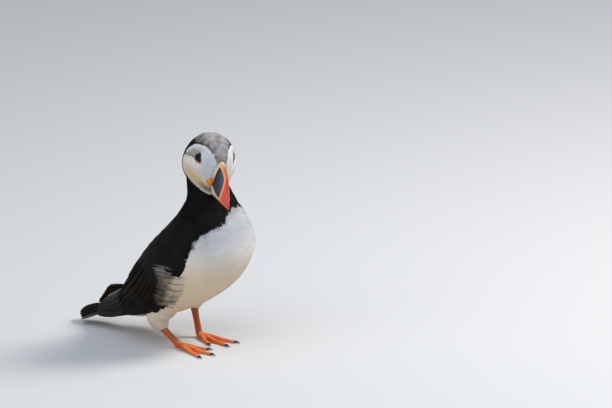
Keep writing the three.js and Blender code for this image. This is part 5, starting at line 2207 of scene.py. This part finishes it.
@dataclass
class EyeForm:
    """One eye: the ball, the red ring of bare skin round it and the horny plates above and below.

    Places on it are given as two distances from the middle, towards the bill and upwards.
    """

    head: HeadForm
    side: Side
    radius: float = 5.7
    depth: float = 4.5  # half depth of the ball along the gaze
    sunk: float = 0.20  # how far its front lies below the plumage
    gaze: tuple = (0.37, 0.87, 0.32)
    # The opening's outline, as places forwards and upwards, from its upper corner towards the bill.
    opening: tuple = (
        (0.0, 5.2), (1.5, 3.4), (3.1, 0.9), (4.6, -1.6), (4.5, -3.2), (2.4, -3.5), (-0.6, -2.8),
        (-2.9, -1.6), (-2.8, 0.3), (-1.4, 3.2), (0.0, 5.2),
    )
    ring_across: float = 0.48
    ring_out: float = 0.70
    clear: float = 0.85  # how far the feathers keep from the ring's middle
    set_back: tuple = (-2.0, 0.2, 0.0)  # of the left eye, which the turned head hides
    upper: Plate = Plate((-1.1, 7.0), (0.95, 1.5, 0.5), 1.0, 1.0)
    lower: Plate = Plate((0.9, -4.7), (1.9, 0.45, 0.30), 0.0, 0.5)

    def __post_init__(self) -> None:
        """Works out where the eye is, which way it looks and how far its opening reaches each way."""
        self.out = unit(np.array(self.gaze) * self.side.flip)
        self.middle = np.array(EYE) * self.side.flip - self.out * self.sunk
        if self.side is Side.LEFT:
            self.middle += self.set_back
        self.up = unit(UP - self.out * self.out[2])
        self.front = np.cross(self.up, self.out) * -self.side.value
        self.outline = stretched(np.array(self.opening, float), np.linspace(0, 1, 97))[:-1]
        turn = np.arctan2(self.outline[:, 0], self.outline[:, 1])
        order = np.argsort(turn)
        self.turns = turn[order]
        self.reaches = np.linalg.norm(self.outline[order], axis=-1)

    def place(self, forward: Array, upward: Array, height: Array) -> Array:
        """A place in the bird's frame, height being measured from the ball's front."""
        forward, upward, height = (np.asarray(v)[..., None] for v in (forward, upward, height))
        return self.head.to_bird(self.middle + self.front * forward + self.up * upward + self.out * height)

    def drop(self, reach: Array) -> Array:
        """How far the ball's surface lies behind its front, at a distance from the gaze."""
        return self.depth * (1 - np.sqrt(1 - np.clip(reach / self.radius, 0, 0.99) ** 2))

    def covers(self, own: Array) -> Array:
        """True for places given as f, l and u that lie over the eye or its ring.

        Args:
            own: The places.

        Returns:
            True or False for each.
        """
        local = own - self.middle
        forward, upward = local @ self.front, local @ self.up
        turn = np.arctan2(forward, upward)
        reach = np.interp(turn, self.turns, self.reaches, period=TURN) + self.clear
        return (np.hypot(forward, upward) < reach) & (np.abs(local @ self.out) < self.radius)

    def ball(self, rings: int = 64, around: int = 72) -> Shell:
        """The eyeball, its pole at the gaze, carrying how far and at what angle each point is from it.

        Args:
            rings: Rings from the gaze to the back.
            around: Corners in a ring.

        Returns:
            The ball.
        """
        polar, angle = sphere(rings, around, 0.01)
        reach, height = self.radius * np.sin(polar), self.depth * (np.cos(polar) - 1)
        shell = loft(self.place(reach * np.sin(angle), reach * np.cos(angle), height))
        away = np.where(polar < math.pi / 2, np.sin(polar), 1.0)
        gaze = np.stack([away, angle, 0 * away], -1).reshape(-1, 3)
        shell.values["gaze"] = np.concatenate([gaze, [[0, 0, 0], [1, 0, 0]]])
        return shell

    def ring(self, around: int = 16) -> Shell:
        """The ring of swollen skin round the opening, with painted shade in front and a painted highlight at
        the lower corner.

        Args:
            around: Corners round the thickness of the skin.

        Returns:
            The ring.
        """
        forward, upward = self.outline.T
        height = -0.6 * self.drop(np.hypot(forward, upward)) - self.ring_out / 2
        middle = self.place(forward, upward, height)
        outward = np.broadcast_to(self.head.axes @ self.out, middle.shape)
        ahead = unit(np.roll(middle, -1, 0) - np.roll(middle, 1, 0))
        across = unit(np.cross(ahead, outward))
        turn = np.arctan2(forward, upward)
        lumps = (1 + 0.12 * np.sin(13 * turn) * np.sin(5 * turn + 1))[:, None]
        grid = tube(middle, outward * self.ring_out * lumps, across * self.ring_across * lumps, around)
        points = grid.reshape(-1, 3)
        # Painted shade over the ring's front and a painted highlight at its lower corner.
        crease = 0.30 + 0.8 * RING_SHADOW.at(forward, upward) - 1.1 * RING_HIGHLIGHT.at(forward, upward)
        faces = outwards(points, walls(len(forward), around, closed=True))
        return Shell(points, faces, {"crease": tripled(np.repeat(crease, around))})

    def plate(self, plate: Plate) -> Shell:
        """A horny plate: a low cushion that stands in the feathers beside the ring.

        Args:
            plate: Which of the two.

        Returns:
            The cushion.
        """
        (ahead, above), halves = plate.spot, plate.halves
        rise, spin = np.linspace(0.02, 1, 14), np.linspace(0, TURN, 40, endpoint=False)
        rise, spin = np.meshgrid(rise, spin, indexing="ij")
        r = np.sin(rise * math.pi / 2)
        x, y = rounded(np.cos(spin), 3.0) * r, rounded(np.sin(spin), 3.0) * r
        x = x * (1 - plate.taper * (y + 1) / 2 * 0.9)
        forward, upward = ahead + x * halves[0], above + y * halves[1]
        level = -0.22 * self.drop(np.hypot(ahead, above))
        top = self.place(forward, upward, level + np.sqrt(1 - r**2) * halves[2])
        shell = loft(np.concatenate([top, self.place(forward, upward, level - 1.6 + 0 * r)[::-1]]))
        shell.values["crease"] = np.full((len(shell.points), 3), plate.tone)
        return shell

    def build(self, ball: Material, red: Material, blue: Material) -> None:
        """The eye as three pieces.

        Args:
            ball: Finish of the eyeball.
            red: Finish of the ring.
            blue: Finish of the plates.
        """
        word = self.side.word
        plates = Shell.joined([self.plate(self.upper), self.plate(self.lower)])
        self.ball().piece(f"eyeball_{word}", ball, "eye", f"eye_{word}")
        self.ring().piece(f"eye_ring_{word}", red, "face_plumage")
        plates.piece(f"eye_plates_{word}", blue, "face_plumage")


@dataclass
class RosetteForm:
    """The fleshy folded pad at the corner of the mouth."""

    head: HeadForm
    side: Side
    halves: tuple = (3.4, 2.0, 4.2)
    tilt: float = 50.0  # degrees that its front turns towards the midline
    folds: int = 11

    def shell(self, rings: int = 60, around: int = 90) -> Shell:
        """The pad, with folds that fan out from the mouth's corner.

        Args:
            rings: Rings from the outer face to the root.
            around: Corners in a ring.

        Returns:
            The pad.
        """
        polar, angle = sphere(rings, around, 0.02)
        f, u = np.sin(polar) * np.cos(angle), np.sin(polar) * np.sin(angle)
        fan = np.arctan2(u + 0.5, 1.35 - f)
        fold = 0.085 * np.cos(self.folds * fan + 0.5 * np.sin(4 * f)) * np.sin(polar)
        groove = 0.09 * np.exp(-(((u + 0.35) / 0.13) ** 2)) * np.sin(polar)
        swell = 1 + fold - groove
        f, l, u = (v * swell * half for v, half in zip((f, np.cos(polar), u), self.halves))
        turn = math.radians(-self.side.value * self.tilt)
        c, s = math.cos(turn), math.sin(turn)
        place = ROSETTE * self.side.flip + np.stack([f * c - l * s, f * s + l * c, u], -1)
        shell = loft(self.head.to_bird(place))
        # Painted shade in the grooves between the folds.
        deep = smooth_step(fold - groove, 0.02, -0.07)
        shell.values["crease"] = tripled(np.append(deep, [0, 0]))
        return shell

    def build(self, finish: Material) -> None:
        """The pad as a piece."""
        word = self.side.word
        self.shell().piece(f"gape_rosette_{word}", finish, "gape_skin", f"rosette_{word}")


@dataclass
class Skin:
    """The one closed skin under the feathers, with the bare legs grown into it."""

    ground: Ground
    legs: tuple[LegForm, ...]
    marks: Markings
    depth_body: float = 1.7
    depth_head: float = 1.1
    socket: tuple[float, float] = (1.6, 5.0)  # how much deeper the skin lies round an eye, and how far
    head_level: tuple[float, float] = (150.0, 172.0)
    body_voxel: float = 1.25
    leg_voxel: float = 0.42
    shank_level: tuple[float, float] = (4.0, 9.0)
    toe_edge: tuple[float, float] = (2.4, 1.2)  # distances from a toe's middle

    def under_form(self) -> Object:
        """The plumage's form brought inwards by the depth of the coat."""
        mesh = self.ground.object.data.copy()
        places, normals = places_of(mesh), read(mesh.vertex_normals, "vector")
        depth = blend(self.depth_body, self.depth_head, smooth_step(places[:, 2], *self.head_level))
        own = self.marks.head.to_head(places)
        for side in Side:
            away = np.linalg.norm(own - EYE * side.flip, axis=-1)
            depth += self.socket[0] * np.exp(-((away / self.socket[1]) ** 2))
        inner = (places + SHIFT - normals * depth[:, None]) * MM
        mesh.vertices.foreach_set("co", inner.astype(np.float32).ravel())
        return melted(linked("skin", mesh), self.body_voxel, 3)

    def build(self, feathered: Material, bare: Material) -> None:
        """The skin as a piece.

        Args:
            feathered: Finish of the plumage's skin.
            bare: Finish of the legs.
        """
        made = self.under_form()
        shells = [shell for form in self.legs for shell in form.bare()]
        legs = melted(Shell.joined(shells).object("legs"), self.leg_voxel, 2)
        for obj, finish in ((made, feathered), (legs, bare)):
            obj.data.materials.clear()
            obj.data.materials.append(finish)
        union = {"operation": "UNION", "object": legs, "solver": "MANIFOLD", "material_mode": "TRANSFER"}
        made = modified(made, BOOLEAN=union)
        bpy.data.objects.remove(legs)
        made.data.polygons.foreach_set("use_smooth", np.ones(len(made.data.polygons), bool))
        places = places_of(made.data)
        set_value(made.data, "marks", self.marks.anywhere(places))
        set_value(made.data, "limb", self.limb(places))
        flesh = ["trunk", "neck", "head", "tail"]
        flesh += [f"{part}_{side.word}" for part in ("wing", "thigh", "shank", "foot") for side in Side]
        placed(made, "leg_skin", *flesh)

    def limb(self, places: Array) -> Array:
        """How much each place is toe, web and shank.

        Args:
            places: Places on the skin.

        Returns:
            The three shares of each.
        """
        toe, shank = np.zeros(len(places)), smooth_step(places[:, 2], *self.shank_level)
        for form in self.legs:
            joint = np.array(form.leg.joint, float)
            near = np.sign(places[:, 1]) == form.leg.side.value
            for tip in form.toe_tips():
                way = tip - joint
                share = held(((places - joint) @ way) / (way @ way))
                gap = np.hypot(*(places - joint - way * share[:, None]).T[:2])
                toe = np.maximum(toe, near * smooth_step(gap, *self.toe_edge))
        return np.stack([toe * (1 - shank), (1 - toe) * (1 - shank), shank], -1)


# ---------------- studio


@dataclass(frozen=True)
class Lamp:
    """A square light: its direction from the bird, distance, width, power and colour."""

    name: str
    right: float
    up: float
    near: float  # towards the camera
    distance: float
    width: float
    power: float
    colour: Colour

    def build(self, camera_right: Vector, camera_near: Vector, aim: Vector) -> None:
        """The lamp, pointing at aim.

        Args:
            camera_right: The camera's right, level.
            camera_near: The level way towards the camera.
            aim: Where the lamp points.
        """
        data = bpy.data.lights.new(self.name, "AREA")
        data.size = self.width
        data.energy = self.power
        data.color = self.colour
        way = (camera_right * self.right + camera_near * self.near + Vector(UP) * self.up).normalized()
        made = linked(self.name, data)
        made.location = aim + way * self.distance
        made.rotation_euler = way.to_track_quat("Z", "Y").to_euler()


LAMPS = (
    Lamp("key", 0.80, 0.85, -0.15, 1.6, 0.55, 23.0, (1.0, 0.97, 0.93)),
    Lamp("sky", -0.25, 1.0, 0.55, 1.8, 1.8, 15.0, (0.84, 0.93, 1.0)),
    Lamp("fill", -1.0, 0.10, 0.75, 1.9, 1.6, 9.5, (1.0, 0.95, 0.88)),
)


@dataclass
class Studio:
    """Camera, lights, floor and the pale surroundings."""

    azimuth: float = 35.0  # degrees, the camera's place round the bird
    elevation: float = 16.0
    distance: float = 12.0  # metres
    lens: float = 780.5
    aim_right: float = 105.9  # millimetres from the point between the feet
    aim_up: float = 124.3
    lamp_aim: float = 0.10  # metres above the feet
    world: Colour = (0.80, 0.87, 1.0)
    world_power: float = 0.42
    floor_half: float = 3.0
    floor_drop: float = 0.1

    def build(self) -> None:
        """Makes everything that isn't the bird."""
        scene = bpy.context.scene
        a, e = math.radians(self.azimuth), math.radians(self.elevation)
        near = Vector((math.sin(a), -math.cos(a), 0.0))
        right = Vector((math.cos(a), math.sin(a), 0.0))
        back = near * math.cos(e) + Vector(UP) * math.sin(e)
        feet = Vector(SHIFT) * MM
        aim = feet + (right * self.aim_right + back.cross(right) * self.aim_up) * MM
        data = bpy.data.cameras.new("camera")
        data.lens = self.lens
        data.sensor_width = 36.0
        data.clip_end = 50.0
        scene.camera = linked("camera", data)
        scene.camera.location = aim + back * self.distance
        scene.camera.rotation_euler = back.to_track_quat("Z", "Y").to_euler()
        for lamp in LAMPS:
            lamp.build(right, near, feet + Vector(UP) * self.lamp_aim)
        world = bpy.data.worlds.new("world")
        world.use_nodes = True
        sky = world.node_tree.nodes["Background"]
        sky.inputs["Color"].default_value = (*self.world, 1.0)
        sky.inputs["Strength"].default_value = self.world_power
        scene.world = world
        scene.view_settings.view_transform = "Standard"
        self.build_floor()

    def build_floor(self) -> None:
        """A wide plain floor just under the feet."""
        h, z = self.floor_half / MM, -self.floor_drop
        corners = np.array([(-h, -h, z), (h, -h, z), (h, h, z), (-h, h, z)])
        floor = Shell(corners, np.array([(0, 1, 2), (0, 2, 3)])).object("floor")
        floor.data.materials.append(FloorFinish().material())


EYE_RING = PlainSkinFinish("eye_ring", (0.34, 0.045, 0.02), (0.07, 0.012, 0.008), (0.80, 0.17, 0.045), 0.8)
EYE_PLATE = PlainSkinFinish("eye_plate", (0.28, 0.31, 0.38), (0.045, 0.05, 0.065), (0.50, 0.54, 0.62), 0.8)
GAPE_SKIN = PlainSkinFinish("gape_skin", (0.84, 0.31, 0.018), (0.50, 0.12, 0.008), (0.92, 0.45, 0.05), 1.0)
CLAW_HORN = PlainSkinFinish("claw_horn", (0.022, 0.022, 0.026), (0.01, 0.01, 0.012), (0.075, 0.07, 0.07), 0.9)


def main() -> None:
    """Builds the whole bird, then the studio."""
    logging.basicConfig(level=logging.INFO, format="%(name)s %(message)s")
    body, head, tail = BodyForm(), HeadForm(), TailForm()
    legs = (LegForm(RIGHT_LEG), LegForm(LEFT_LEG))
    marks = Markings(body, head)
    blocks = [body.grid(70, 90), head.grid(60, 90), tail.block(0.35, 8, 16)]
    for side in Side:
        blocks += [WingForm(body, slab, side).block(last) for slab, last in ((ARM, 1.0), (HAND, 0.5))]
    blocks += [form.thigh().grid(24, 40) for form in legs]
    ground = Ground([loft(block) for block in blocks])
    log.info("form: %d faces", len(ground.object.data.polygons))

    coat = Coat(ground, PlumageFinish().material())
    plumage = Plumage(body, head, tail, legs, marks, coat)
    plumage.build_head()
    plumage.build_trunk()
    plumage.build_thighs()
    plumage.build_wings()
    plumage.build_tail()
    plumage.build_locks()
    log.info("coat: %d triangles", coat.triangles)

    Skin(ground, legs, marks).build(UnderskinFinish().material(), LegFinish().material())
    bpy.data.objects.remove(ground.object)
    BillForm(head).build(BillFinish().material())
    eye, red, blue, gape, claw = (
        finish.material() for finish in (EyeFinish(), EYE_RING, EYE_PLATE, GAPE_SKIN, CLAW_HORN)
    )
    for side in Side:
        EyeForm(head, side).build(eye, red, blue)
        RosetteForm(head, side).build(gape)
    for form in legs:
        word = form.leg.side.word
        nodes = (f"claw_{name}_{word}" for name in form.toe_names)
        form.claws().piece(f"claws_{word}", claw, "claw_horn", *nodes)
    Studio().build()


if __name__ == "__main__":
    main()
